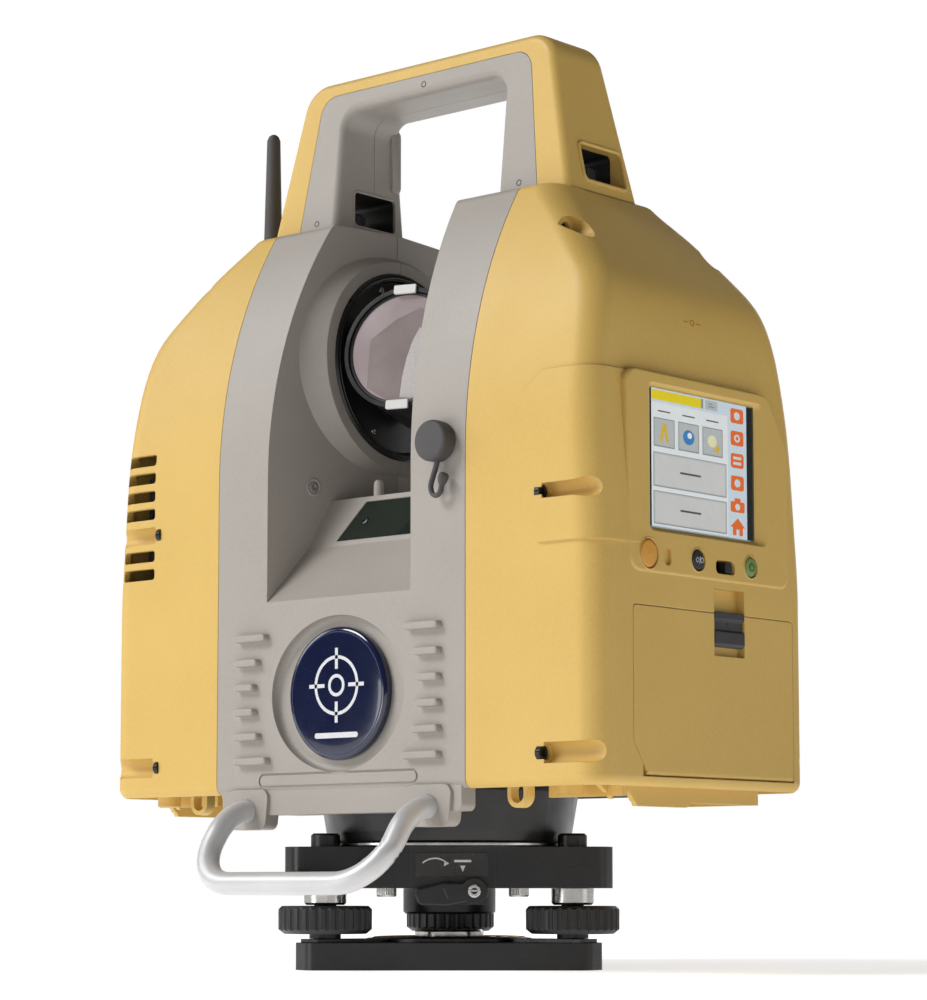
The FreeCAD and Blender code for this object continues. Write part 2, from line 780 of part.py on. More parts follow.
def grey_half(shell, side):
    """Everything between the two colour seams, on the front (side -1) or the rear (side 1)."""
    reach = S.seam_side - S.seam_half_gap
    gap = S.seam_half_gap
    low, high = sorted((side * gap, side * 140))
    half = shell.common(box_between((-reach, low, 40), (reach, high, 400)))
    extras = boss_backing()
    if side < 0:
        extras = extras.fuse(badge_backing()).fuse(bar_lugs())
    else:
        extras = mirrored(extras, (0, 1, 0))
    half = half.fuse(extras)
    cone = Part.makeCylinder(S.cone_top_radius + 2.5, 40, Vector(0, 0, 50))
    half = half.cut(cone)
    half = half.cut(rod(S.ring_outer + 0.05, (-60, 0, S.axis_height), (60, 0, S.axis_height)))
    for x in (-S.thumb_side, S.thumb_side):
        half = half.cut(rod(3.4, (x, S.thumb_depth, 325), (x, S.thumb_depth, 350)))
    return half


def boss_backing():
    """Walls that carry the black bearing rings behind the round bosses, built on the front."""
    pieces = []
    for x in (-1, 1):
        start = S.boss_face + 1.5
        tube = rod(S.ring_outer + 3, (x * start, 0, S.axis_height), (x * (start + 7), 0, S.axis_height))
        pieces.append(tube.common(box_between((-60, -80, 200), (60, -S.seam_half_gap, 340))))
    return pieces[0].fuse(pieces[1])


def badge_backing():
    """A thicker plate behind the badge's dish, built on the front."""
    face = S.half_depth
    return rounded_prism([(-52, -face + 2, 87), (52, -face + 2, 87), (52, -face + 2, 160),
                          (-52, -face + 2, 160)],
                         10, (0, 5, 0))


def make_front_panel(shell):
    panel = grey_half(shell, -1)
    for rib in rib_shapes():
        panel = panel.fuse(rib)
    panel = panel.cut(badge_recess()).cut(stadium_groove())
    _, out = slope_direction()
    panel = panel.cut(window_face(24, 15, 0.15, -1).extrude(out * -2.4))
    panel = panel.cut(window_face(20, 12, -2, -1).extrude(out * -8))
    panel = panel.cut(rod(6.05, (61, -90, 226.7), (61, -60, 226.7)))
    feature("front_panel", panel)
    feature("floor_window", window_face(24, 15, 0, 0.3).extrude(out * -1.05))


def make_rear_panel(shell):
    feature("rear_panel", grey_half(shell, 1))


def make_badge():
    """A thick round puck with a stepped rim, flush in its dish."""
    back = -S.half_depth + S.badge_recess_depth - 0.05
    turned("badge", [
        ("0", "0"), ("badge_radius - 1", "0"), ("badge_radius", "1"), ("badge_radius",
                                                                       "badge_thickness - 1.4"),
        ("badge_radius - 1.4", "badge_thickness"), ("badge_radius - 2.6", "badge_thickness"),
        ("badge_radius - 2.8", "badge_thickness - 0.4"), ("0", "badge_thickness - 0.4"),
    ], Placement(Vector(0, back, S.badge_height), ALONG_MINUS_Y))


# ---------------------------------------------------------------- yellow covers


def groove_tools(side):
    """Screw channels that run in from the side of a cover, on its front and rear."""
    tools = []
    bosses = []
    for face in (-1, 1):
        for z, radius, depth in ((S.upper_groove, 4.1, 1.6), (S.lower_groove, 4.6, 1.6)):
            y = face * (S.half_depth - depth)
            tools.append(rod(radius, (side * S.groove_inner, y, z), (side * 160, y, z)))
            tools.append(rod(3.1, (side * (S.groove_inner - S.screw_sink), y, z), (side * 160, y, z)))
            bosses.append(rod(radius + 2.6, (side * (S.groove_inner - 8), y, z), (side * 160, y, z)))
        z, y = 318, face * S.shoulder_screw_depth
        tools.append(rod(5.4, (side * 107, y, z), (side * 160, y, z)))
        tools.append(rod(3.1, (side * (107 - S.screw_sink), y, z), (side * 160, y, z)))
        bosses.append(rod(8, (side * 99, y, z), (side * 160, y, z)))
    return tools, bosses


def under_skirts(side):
    """Ribs, a boss and a half-round loop that stand below a cover's bottom edge."""
    low, high = sorted((side * 100, side * 139.5))
    outline = [(-42, 72), (46, 72), (46, 82), (-50, 82)]
    skirt = prism([(side * 139.5, y, z) for y, z in outline], (-side * 2.6, 0, 0))
    step = prism([(side * 139.5, -40, 70), (side * 139.5, -6, 70), (side * 139.5, 0, 73),
                  (side * 139.5, -42, 73)],
                 (-side * 2.6, 0, 0))
    rear = box_between((low, 43.4, 72), (high, 46, 82))
    front = box_between((low, -50, 74), (high, -47.4, 82))
    skirt = skirt.fuse(step).fuse(rear).fuse(front)
    skirt = skirt.fuse(rod(5.4, (side * 121, -61, 73.9), (side * 121, -61, 82)))
    loop = rounded_prism([(side * 96 - 5.4, -66, 69.5), (side * 96 + 5.4, -66, 69.5),
                          (side * 96 + 5.4, -66, 88), (side * 96 - 5.4, -66, 88)], 5.3, (0, 5, 0))
    hole = rounded_prism([(side * 96 - 3.4, -67, 71.6), (side * 96 + 3.4, -67, 71.6),
                          (side * 96 + 3.4, -67, 80), (side * 96 - 3.4, -67, 80)], 3.3, (0, 7, 0))
    fin = prism([(side * 129, -60, 82), (side * 129, -46, 82), (side * 129, -46, 73)], (side * 2.4, 0, 0))
    floor = box_between(*sorted_box(side * 92, -73, 79.3, side * 146, 73, 82.2)).common(envelope(0))
    loop = loop.common(box_between((-150, -70, 60), (150, -50, 80)))
    return floor.fuse(skirt).fuse(loop.cut(hole)).fuse(fin)


def sorted_box(xa, ya, za, xb, yb, zb):
    return (min(xa, xb), min(ya, yb), min(za, zb)), (max(xa, xb), max(ya, yb), max(za, zb))


def door_prism(side, grow, inner, outer):
    """The battery door's outline pushed through the side wall. Its front foot is cut at a slant."""
    front, rear, top, foot = -S.door_front - grow, S.door_rear + grow, S.door_top + grow, S.door_axis
    points = [(front, top), (rear, top), (rear, foot), (front + 9, foot), (front, foot + 12)]
    wire = rounded_outline([(side * inner, y, z) for y, z in points], 2)
    return Part.Face(wire).extrude(Vector(side * (outer - inner), 0, 0))


def latch_recess(side, low, high, floor, outer=160):
    return box_between(*sorted_box(side * floor, S.latch_front, low, side * outer, S.latch_rear, high))


def yellow_cover(shell, side):
    """One tower's outer cover with its screw channels, door opening and skirts."""
    reach = S.seam_side + S.seam_half_gap
    low, high = sorted((side * reach, side * 160))
    region = box_between((low, -90, 40), (high, 90, 400))
    cover = shell.common(region)
    tools, bosses = groove_tools(side)
    outer = envelope(0).common(region)
    backing = door_backing(side)
    for boss in bosses:
        backing = backing.fuse(boss)
    cover = cover.fuse(backing.common(outer)).fuse(under_skirts(side).common(region))
    for tool in tools:
        cover = cover.cut(tool)
    cover = cover.cut(door_prism(side, S.door_gap, S.half_width - 9, 160))
    cover = cover.cut(rod(1.85, (side * (S.half_width - 1.55), -S.door_front + 8.5, S.door_axis),
                          (side * (S.half_width - 1.55), S.door_rear + 0.4, S.door_axis)))
    # The sill is stepped down outside the hinge, so that the door's foot can turn into the step.
    cover = cover.cut(box_between(*sorted_box(side * (S.half_width - 1.6), -S.door_front + 6,
                                              S.door_axis - 1.9,
                                              side * 160, S.door_rear + 0.4, S.door_axis + 3.1)))
    cover = cover.cut(latch_recess(side, S.door_top - 1, 164, S.half_width - 4.5))
    return cover


def door_backing(side):
    """Extra thickness behind the latch's finger recess."""
    return box_between(*sorted_box(side * (S.half_width - 7), S.latch_front - 3, S.door_top + 0.4,
                                   side * (S.half_width - 1), S.latch_rear + 3, 167))


def make_battery_door(side, name):
    """The door with its hinge barrel along the foot and a pocket for the latch."""
    wall_in = S.half_width - S.wall
    door = door_prism(side, 0, wall_in, S.half_width)
    rim = door_prism(side, -2.5, wall_in - 3, wall_in + 0.5)
    rim = rim.cut(door_prism(side, -5, wall_in - 4, wall_in + 1))
    rim = rim.cut(box_between((-160, -70, 60), (160, 70, S.door_axis + 9)))
    axle = side * (S.half_width - 1.55)
    barrel = rod(1.5, (axle, -S.door_front + 9, S.door_axis), (axle, S.door_rear, S.door_axis))
    seat = box_between(*sorted_box(side * (wall_in - 2.5), S.latch_front - 2.5, S.door_top - 21,
                                   side * wall_in, S.latch_rear + 2.5, S.door_top))
    door = door.fuse(rim).fuse(barrel).fuse(seat)
    door = door.cut(latch_recess(side, S.door_top - 18, S.door_top + 1, S.half_width - 3.4))
    feature("battery_door_" + name, door)


def make_latch(side, name):
    """A stepped thumb slide."""
    inner, outer = S.half_width - 3.1, S.half_width + 0.4
    z = S.door_top - 14
    outline = [(inner, z), (outer - 1.2, z), (outer, z + 1.2), (outer, z + 6.4), (outer - 1.4, z + 7.4),
               (outer - 1.4, z + 11), (outer - 0.2, z + 12), (outer - 0.2, z + 15), (inner, z + 15)]
    latch = prism([(side * x, S.latch_front + 0.4, h) for x, h in outline],
                  (0, S.latch_rear - S.latch_front - 0.8, 0))
    feature("latch_" + name, latch)


def make_left_cover(shell):
    cover = yellow_cover(shell, -1)
    slot = S.vent_height / 2
    for z in (236.3, 227.8, 219.2, 210.7, 190.8, 182.3):
        cover = cover.cut(rounded_prism([(-118, -90, z - slot), (-118, -90, z + slot),
                                         (-140, -90, z + slot), (-140, -90, z - slot)], 1.6, (0, 28, 0)))
    cover = cover.cut(rod(7.05, (-S.antenna_side, S.antenna_depth, 290),
                          (-S.antenna_side, S.antenna_depth, 340)))
    feature("left_cover", cover)


def screen_bezel():
    """The raised field around the screen, standing nearly upright on the drafted side."""
    outer_low, outer_high = S.half_width + 0.5, S.half_width - 0.9
    wedge = prism([(141, -70, S.bezel_bottom), (outer_low, -70, S.bezel_bottom),
                   (outer_high, -70, S.bezel_top), (141, -70, S.bezel_top)], (0, 140, 0))
    field = [(-S.bezel_front, S.bezel_bottom), (S.bezel_rear, S.bezel_bottom),
             (S.bezel_rear, S.bezel_top - 22), (S.bezel_rear - 14, S.bezel_top), (-S.bezel_front, S.bezel_top)]
    bezel = wedge.common(rounded_prism([(130, y, z) for y, z in field], 7, (30, 0, 0)))
    rim = [e for e in bezel.Edges if e.BoundBox.XMin > S.half_width - 1.2]
    return bezel.makeFillet(1.3, rim)


def front_field():
    """A raised field on the screen cover's front that wraps round the corner."""
    field = [(107, 187), (115, 179), (160, 179), (160, 252), (116, 252), (107, 243)]
    tool = rounded_prism([(x, -100, z) for x, z in field], 3, (0, 60, 0))
    return envelope(-1.1).cut(envelope(1)).common(tool)


def make_right_cover(shell):
    cover = yellow_cover(shell, 1)
    tools, bosses = groove_tools(1)
    cover = cover.fuse(screen_bezel()).fuse(front_field())
    for tool in tools:
        cover = cover.cut(tool)
    cover = cover.cut(latch_recess(1, S.door_top - 1, 164, S.half_width - 4.5))
    back, front = S.screen_plane, S.half_width + 3
    half, low, high = S.screen_half, S.screen_bottom, S.screen_top
    opening = Part.makeLoft([
        rounded_outline([(back, -half, low), (back, half, low), (back, half, high), (back, -half, high)], 2),
        rounded_outline([(front, -half - 8, low - 4), (front, half + 12, low - 4),
                         (front, half + 12, high + 5), (front, -half - 8, high + 5)], 4),
    ], True, True)
    cover = cover.cut(opening)
    cover = cover.cut(box_between((130, -half, low), (back + 1, half, high)))
    for y, z, radius in key_places().values():
        cover = cover.cut(rod(radius + 0.3, (130, y, z), (160, y, z)))
        cover = cover.cut(rod(radius + 1.8, (130, y, z), (S.half_width - 4.5, y, z)))
    cover = cover.cut(switch_slot(0.3))
    dimple = rounded_prism([(146.2, -31.5, 171), (146.2, -26.5, 171), (146.2, -26.5, 179),
                            (146.2, -31.5, 179)],
                           2.4, (10, 0, 0))
    feature("right_cover", cover.cut(dimple))


def key_places():
    """Depth along Y, height and radius of the round keys under the screen."""
    z = S.key_height
    return {"side_key": (-42, z, 6.1), "function_key": (-7.6, z, 4.6), "power_key": (30.7, z, 4.5)}


def switch_slot(grow):
    """The slot of the small slide switch."""
    z = S.key_height - 1.6
    return rounded_prism([(130, 5.4 - grow, z - 2.7 - grow), (130, 18.6 + grow, z - 2.7 - grow),
                          (130, 18.6 + grow, z + 2.7 + grow), (130, 5.4 - grow, z + 2.7 + grow)], 2.2, (30, 0, 0))


def make_keys():
    """Domed keys with a flange behind the wall, and the small slide switch."""
    for name, (y, z, radius) in key_places().items():
        turned(name, [
            ("0", "0"), (f"{radius} + 1.5", "0"), (f"{radius} + 1.5", "1.2"), (f"{radius}", "1.2"),
            (f"{radius}", "5.6"), (f"{radius} - 0.9", "6.6"), ("0", "6.9"),
        ], Placement(Vector(S.half_width - 5.9, y, z), ALONG_X))
    z = S.key_height - 1.6
    slider = box_between((143, 13, z - 2.2), (S.half_width - 0.2, 17.4, z + 2.2))
    feature("switch_slider", slider.makeFillet(0.4, slider.Edges))


def make_bottom_cover():
    """The floor of the body, with a round opening over the fixed cone."""
    z = S.body_bottom + 0.2
    plate = section(z + 5, S.wall + 2)
    solid = Part.Face(plate).extrude(Vector(0, 0, 2.5))
    solid = solid.cut(rod(S.cone_top_radius + 3, (0, 0, z), (0, 0, z + 20)))
    for side in (-1, 1):
        solid = solid.cut(box_between(*sorted_box(side * 94, -70, 80, side * 150, 70, 90)).common(
            box_between((-160, -70, 80), (160, 70, 82.05))))
    feature("bottom_cover", solid)


# ---------------------------------------------------------------- inside the body


def make_frame():
    """The cast frame: a floor plate, a cup for the azimuth bearings and motor, and two trunnion posts."""
    plate = primitive("Box", "frame_plate", ("-frame_side", "-frame_depth", "frame_bottom"),
                      Length="2 * frame_side", Width="2 * frame_depth", Height="frame_thickness")
    plate_bore = primitive("Cylinder", "frame_bore", ("0", "0", "frame_bottom - 1"),
                           Radius="44", Height="frame_thickness + 2")
    cup = turned("frame_cup", [
        ("30", "frame_bottom"), ("46", "frame_bottom"), ("46", "150"), ("42", "150"),
        ("42", "122"), ("30", "122"),
    ], node=False)
    posts = []
    bores = [plate_bore]
    for side in (-1, 1):
        start = "post_side" if side > 0 else "-post_side - post_thickness"
        name = "right" if side > 0 else "left"
        posts.append(primitive("Box", f"post_{name}", (start, "-post_half_depth", "frame_bottom + 1"),
                               Length="post_thickness", Width="2 * post_half_depth",
                               Height="post_top - frame_bottom - 1"))
        bores.append(primitive("Cylinder", f"post_bore_{name}", (start + " - 1", "0", "axis_height"),
                               ALONG_X,
                               Radius="16", Height="post_thickness + 2"))
        bores.append(primitive("Box", f"post_window_{name}", (start + " - 1", "-18", "160"),
                               Length="post_thickness + 2", Width="36", Height="80"))
    frame = cut("frame_bored", fuse("frame_blank", plate, *posts), *bores)
    publish(fuse("chassis_frame", frame, cup))


def make_azimuth_drive():
    bearings = []
    for i, z in enumerate((93, 112)):
        bearings.append(turned(f"azimuth_bearing_{i}", [
            ("shaft_radius + 0.02", f"{z}"), ("29.98", f"{z}"), ("29.98", f"{z} + 8"),
            ("27", f"{z} + 8"), ("26.4", f"{z} + 7"), ("23.6", f"{z} + 7"), ("23", f"{z} + 8"),
            ("shaft_radius + 0.02", f"{z} + 8"),
        ], node=False))
    group("azimuth_bearings", bearings)
    turned("azimuth_stator", [("27.5", "133"), ("41.98", "133"), ("41.98", "149"), ("27.5", "149")])


def around_tilt_axis():
    return Placement(Vector(0, 0, S.axis_height), ALONG_X)


def make_tilt_drive():
    """Trunnion shaft with its angle disc, bearings, motor and the black rings on the tower walls."""
    shaft = turned("trunnion", [
        ("0", "-92"), ("trunnion_radius", "-92"), ("trunnion_radius", "68"), ("4", "68"), ("4",
                                                                                           "66"), ("0", "66"),
    ], node=False)
    disc = turned("tilt_angle_disc", [
        ("trunnion_radius + 0.02", "61"), ("27", "61"), ("27", "62.6"), ("trunnion_radius + 0.02", "62.6"),
    ], node=False)
    group("tilt_shaft", [shaft, disc]).Placement = around_tilt_axis()
    bearings = []
    rings = []
    for side in (-1, 1):
        inner, outer = f"{side} * (post_side + 0.5)", f"{side} * (post_side + post_thickness - 0.5)"
        bearings.append(turned(f"tilt_bearing_{side + 1}", [
            ("trunnion_radius + 0.02", inner), ("15.98", inner), ("15.98",
                                                                  outer), ("trunnion_radius + 0.02", outer),
        ], around_tilt_axis(), node=False))
        face, back = f"{side} * ring_face", f"{side} * (ring_face + 8)"
        rings.append(turned(f"bearing_ring_{side + 1}", [
            ("ring_inner", face), ("ring_outer - 0.8", face), ("ring_outer", f"{side} * (ring_face + 0.8)"),
            ("ring_outer", back), ("ring_inner", back),
        ], around_tilt_axis(), node=False))
    group("tilt_bearings", bearings)
    group("bearing_rings", rings)
    turned("tilt_motor", [
        ("trunnion_radius + 0.4", "-90"), ("25", "-90"), ("26", "-89"), ("26", "-60"),
        ("trunnion_radius + 0.4", "-60"),
    ], around_tilt_axis())


def mirror_frame():
    """Centre of the mirror window and its outward, upward and sideways directions."""
    turn, tilt = math.radians(S.mirror_turn), math.radians(S.mirror_tilt)
    out = Vector(math.sin(turn) * math.cos(tilt), -math.cos(turn) * math.cos(tilt), math.sin(tilt))
    side = Vector(math.cos(turn), math.sin(turn), 0)
    up = side.cross(out) * -1
    centre = Vector(S.mirror_side, -S.mirror_reach, S.axis_height + S.mirror_rise)
    return centre, out, up, side


def make_scan_head():
    """The drum between the rings, the slanting window housing, its bezel, glass and clips."""
    centre, out, up, side = mirror_frame()
    hub = S.hub_disc_radius
    profile = [(-36.5, 8.02), (-36.5, hub), (-31.6, hub), (-29, S.drum_radius), (29, S.drum_radius),
               (31.6, hub), (36.5, hub), (36.5, 8.02)]
    corners = [Vector(x, 0, r) for x, r in profile]
    drum = Part.Face(Part.makePolygon(corners + corners[:1])).revolve(Vector(), Vector(1, 0, 0), 360)
    drum.translate(Vector(0, 0, S.axis_height))
    housing = Part.makeCylinder(S.bezel_radius - 0.4, 40, centre - out * 2.6, out * -1)
    housing = housing.fuse(Part.makeCone(S.bezel_radius - 0.4, 17, 19, centre - out * 42.6, out * -1))
    limit = rod(46.5, (-29.4, 0, S.axis_height), (29.4, 0, S.axis_height))
    bore = rod(8.02, (-40, 0, S.axis_height), (40, 0, S.axis_height))
    seat = Part.makeCylinder(S.bezel_radius + 0.1, 20, centre - out * 2.55, out)
    feature("scan_drum", drum.fuse(housing.common(limit)).cut(bore).cut(seat))
    rim = Part.makeCylinder(S.bezel_radius, 3.6, centre - out * 2.5, out)
    rim = rim.cut(Part.makeCylinder(S.mirror_radius, 5, centre - out * 3, out))
    feature("mirror_bezel", rim)
    feature("mirror_glass", Part.makeCylinder(S.mirror_radius - 0.05, 2.2, centre - out * 2.5, out))
    clips = []
    for sign in (-1, 1):
        middle = centre + up * (sign * 27.6) + out * 1.15
        half_long, half_wide = side * 5.5, up * 2.1
        points = [middle - half_long - half_wide, middle + half_long - half_wide,
                  middle + half_long + half_wide, middle - half_long + half_wide]
        clips.append(rounded_prism(points, 0.6, out * 1.1))
    feature("mirror_clips", Part.makeCompound(clips))


def make_electronics():
    """Display stack behind the screen opening, boards, ranging module, camera and battery packs."""
    half, low, high = S.screen_half, S.screen_bottom, S.screen_top
    front = S.screen_plane
    for label, back, thickness, margin in (("screen_glass", front, 0.9, 0.2),
                                           ("display_panel", front - 3, 2.9, 0.3)):
        at = (f"{back}", f"-screen_half + {margin}", f"screen_bottom + {margin}")
        publish(primitive("Box", label, at, Length=f"{thickness}", Width=f"2 * screen_half - {2 * margin}",
                          Height=f"screen_top - screen_bottom - {2 * margin}"))
    publish(primitive("Box", "control_board", ("136", "-screen_half - 6", "screen_bottom - 2"),
                      Length="1.6", Width="2 * screen_half + 12", Height="screen_top - screen_bottom + 4"))
    barrel = primitive("Cylinder", "ranging_barrel", ("72", "0", "axis_height"), ALONG_X, Radius="17",
                       Height="44")
    block = primitive("Box", "ranging_block", ("78", "-28", "axis_height - 62"), Length="34", Width="56",
                      Height="50")
    publish(fuse("laser_module", barrel, block))
    up, out = slope_direction()
    eye = Vector(0, -S.floor_knee_depth, S.floor_knee) + up * 13 - out * 9
    feature("camera_module", Part.makeCylinder(8, 12, eye, out * -1).fuse(Part.makeCylinder(5, 4,
            eye + out * 4, out * -1)))
    packs = []
    for side in (-1, 1):
        start = "98" if side > 0 else "-140"
        packs.append(primitive("Box", f"pack_{side + 1}", (start, "-44", "90"), Length="42", Width="100",
                               Height="56"))
    group("battery_packs", packs)


def make_fan():
    """A small axial fan behind the vents, blowing out through the front."""
    centre = Vector(-117, -56, 210)
    case = box_between((-137, -61, 190), (-97, -51, 230))
    case = case.cut(rod(18.2, (centre.x, -70, centre.z), (centre.x, -52.5, centre.z)))
    case = case.cut(rod(15, (centre.x, -55, centre.z), (centre.x, -45, centre.z)).cut(
        rod(8, (centre.x, -55, centre.z), (centre.x, -45, centre.z))).cut(
        box_between((-140, -56, 208.5), (-95, -44, 211.5))))
    feature("fan_frame", case)
    hub = rod(7.6, (centre.x, -60, centre.z), (centre.x, -53, centre.z))
    blade = prism([(centre.x + 6, -59.5, centre.z - 0.2), (centre.x + 17.4, -59.5, centre.z - 2.2),
                   (centre.x + 17.4, -59.5, centre.z - 1.1), (centre.x + 6, -59.5, centre.z + 1)], (0, 5.6, 3.2))
    for i in range(7):
        turned_blade = blade.copy()
        turned_blade.rotate(centre, Vector(0, 1, 0), 360 / 7 * i)
        hub = hub.fuse(turned_blade)
    feature("fan_rotor", hub)


def make_port_cap():
    """A rubber cap with a pull loop that hangs below it."""
    x, z = 61, 226.7
    face = -S.half_depth - 0.3
    cap = rod(9, (x, face, z), (x, face - 7.4, z))
    cap = cap.makeFillet(1.4, [e for e in cap.Edges if abs(e.BoundBox.YMax - face + 7.4) < 0.01])
    stem = rod(4.6, (x, face, z), (x, face + 8, z))
    loop = Part.makeTorus(4, 1.8, Vector(x + 0.6, face - 4, z - 20), Vector(0, 1, 0))
    neck = rod(2, (x, face - 4, z - 8), (x + 0.6, face - 4, z - 15.4))
    feature("port_cap", cap.fuse(stem).fuse(neck).fuse(loop))


def rounded_corner(before, corner, after, radius):
    """Start, middle and end of the arc that rounds the corner between two straight runs."""
    back, ahead = (before - corner).normalize(), (after - corner).normalize()
    half = back.getAngle(ahead) / 2
    reach = radius / math.tan(half)
    middle = corner + (back + ahead).normalize() * (radius / math.sin(half) - radius)
    return corner + back * reach, middle, corner + ahead * reach


def make_guard_bar():
    """A bent tube in front of the body's foot: out of a lug, down and forwards, and back to the other lug."""
    start = Vector(S.bar_side, 8 - S.half_depth, S.bar_high)
    knee = Vector(S.bar_side, -S.bar_knee, S.bar_high)
    foot = Vector(S.bar_side, -S.bar_reach, S.bar_low)

    def other(point):
        return Vector(-point.x, point.y, point.z)

    corners = [start, knee, foot, other(foot), other(knee), other(start)]
    radii = [S.bar_upper_bend, S.bar_lower_bend, S.bar_lower_bend, S.bar_upper_bend]
    edges = []
    last = start
    for before, corner, after, radius in zip(corners, corners[1:], corners[2:], radii):
        arc = rounded_corner(before, corner, after, radius)
        edges += [Part.LineSegment(last, arc[0]).toShape(), Part.Arc(*arc).toShape()]
        last = arc[2]
    edges.append(Part.LineSegment(last, corners[-1]).toShape())
    ring = Part.Wire(Part.Circle(start, Vector(0, 1, 0), S.bar_radius).toShape())
    feature("guard_bar", Part.Wire(edges).makePipeShell([ring], True, False))


def make_cover_screws():
    """Socket screws at the inner ends of the covers' channels."""
    heads = []
    for side in (-1, 1):
        for face in (-1, 1):
            spots = [(S.groove_inner, face * (S.half_depth - 1.6), S.upper_groove),
                     (S.groove_inner, face * (S.half_depth - 1.6), S.lower_groove),
                     (107, face * S.shoulder_screw_depth, 318)]
            for x, y, z in spots:
                x = x - S.screw_sink + 0.05
                head = rod(2.9, (side * x, y, z), (side * (x + 2.4), y, z))
                socket = rod(1.5, (side * (x + 1.2), y, z), (side * (x + 3), y, z))
                heads.append(head.cut(socket))
    feature("cover_screws", Part.makeCompound(heads))


# ---------------------------------------------------------------- handle and antenna


def handle_block():
    """The whole handle as one solid: a rounded arch that narrows upwards, without its opening."""
    deep = S.handle_foot_depth + 5
    top, foot = S.handle_top, S.handle_foot
    points = [(S.handle_foot_side, -deep, foot), (S.handle_top_side, -deep, top),
              (-S.handle_top_side, -deep, top), (-S.handle_foot_side, -deep, foot)]
    arch = arch_wire(points, S.handle_corner)
    block = Part.Face(arch).extrude(Vector(0, 2 * deep, 0))
    wedge = prism([(-120, -S.handle_foot_depth, foot - 1), (-120, S.handle_foot_depth, foot - 1),
                   (-120, S.handle_top_depth, top + 1), (-120, -S.handle_top_depth, top + 1)], (240, 0, 0))
    block = block.common(wedge)
    edges = [e for e in block.Edges if e.BoundBox.ZMax > foot + 2]
    return block.makeFillet(4, edges)


def arch_wire(points, radius):
    """Four corners joined by lines, with the middle two rounded."""
    a, b, c, d = [Vector(*p) for p in points]
    edges = []
    ends = []
    for before, corner, after in ((a, b, c), (b, c, d)):
        back = (before - corner).normalize()
        ahead = (after - corner).normalize()
        half = back.getAngle(ahead) / 2
        reach = radius / math.tan(half)
        middle = corner + (back + ahead).normalize() * (radius / math.sin(half) - radius)
        ends.append((corner + back * reach, middle, corner + ahead * reach))
    edges.append(Part.LineSegment(a, ends[0][0]).toShape())
    edges.append(Part.Arc(*ends[0]).toShape())
    edges.append(Part.LineSegment(ends[0][2], ends[1][0]).toShape())
    edges.append(Part.Arc(*ends[1]).toShape())
    edges.append(Part.LineSegment(ends[1][2], d).toShape())
    edges.append(Part.LineSegment(d, a).toShape())
    return Part.Wire(edges)


def make_handle():
    """Yellow outer arch, grey inner arches in two halves, and a thumbscrew in each leg."""
    block = handle_block()
    foot = S.handle_foot
    opening = Part.Face(arch_wire([(S.grip_side, -40, foot - 9), (S.grip_side, -40, S.grip_top),
                                   (-S.grip_side, -40, S.grip_top), (-S.grip_side, -40, foot - 9)],
                                  S.grip_corner)).extrude(Vector(0, 80, 0))
    block = block.cut(opening)
    rims = [e for e in block.Edges if e.BoundBox.XMax < S.grip_side + 0.1 and e.BoundBox.XMin > -S.grip_side - 0.1
            and e.BoundBox.ZMax < S.grip_top + 0.1 and e.BoundBox.YLength < 12 and abs(e.BoundBox.Center.y) > 10]
    block = block.makeFillet(3.5, rims)
    for side in (-1, 1):
        window = rounded_prism([(side * 45, -12, foot + 5.5), (side * 45, 17, foot + 5.5),
                                (side * 45, 17, foot + 22), (side * 45, -12, foot + 22)], 2, (side * 55, 0, 0))
        bore = rod(3.4, (side * S.thumb_side, S.thumb_depth, foot - 1),
                   (side * S.thumb_side, S.thumb_depth, foot + 30))
        block = block.cut(window).cut(bore)
    grey = Part.Face(arch_wire([(S.panel_foot_side, -40, foot - 1), (S.panel_top_side, -40, S.panel_top),
                                (-S.panel_top_side, -40, S.panel_top), (-S.panel_foot_side, -40, foot - 1)],
                               10)).extrude(Vector(0, 80, 0))
    feature("handle_shell", block.cut(grey))
    inner = Part.Face(arch_wire([(S.panel_foot_side - 0.2, -40, foot - 1),
                                 (S.panel_top_side - 0.2, -40, S.panel_top - 0.2),
                                 (-S.panel_top_side + 0.2, -40, S.panel_top - 0.2),
                                 (-S.panel_foot_side + 0.2, -40, foot - 1)], 9.8)).extrude(Vector(0, 80, 0))
    grey_block = block.common(inner)
    split = 2
    front = grey_block.common(box_between((-100, -40, 300), (100, split - 0.15, 420)))
    rear = grey_block.common(box_between((-100, split + 0.15, 300), (100, 40, 420)))
    feature("handle_panels", Part.makeCompound([front, rear]))
    make_thumbscrews()


def make_thumbscrews():
    for side, name in ((-1, "left"), (1, "right")):
        knob = turned(f"thumb_knob_{name}", [
            ("0", "-13"), ("3", "-13"), ("3", "8"), ("thumb_radius - 1", "8"), ("thumb_radius", "9"),
            ("thumb_radius", "14"), ("thumb_radius - 1", "15"), ("3", "15"), ("3", "26"), ("0", "26"),
        ], node=False)
        notches = []
        for k in range(24):
            angle = 15 * k
            at = (f"(thumb_radius + 0.4) * cos({angle})", f"(thumb_radius + 0.4) * sin({angle})", "7")
            notches.append(primitive("Cylinder", f"notch_{name}_{k}", at, Radius="0.9", Height="9"))
        screw = cut(f"thumbscrew_{name}", knob, *notches)
        screw.Placement = Placement(Vector(side * S.thumb_side, S.thumb_depth, S.handle_foot), Rotation())
        publish(screw)


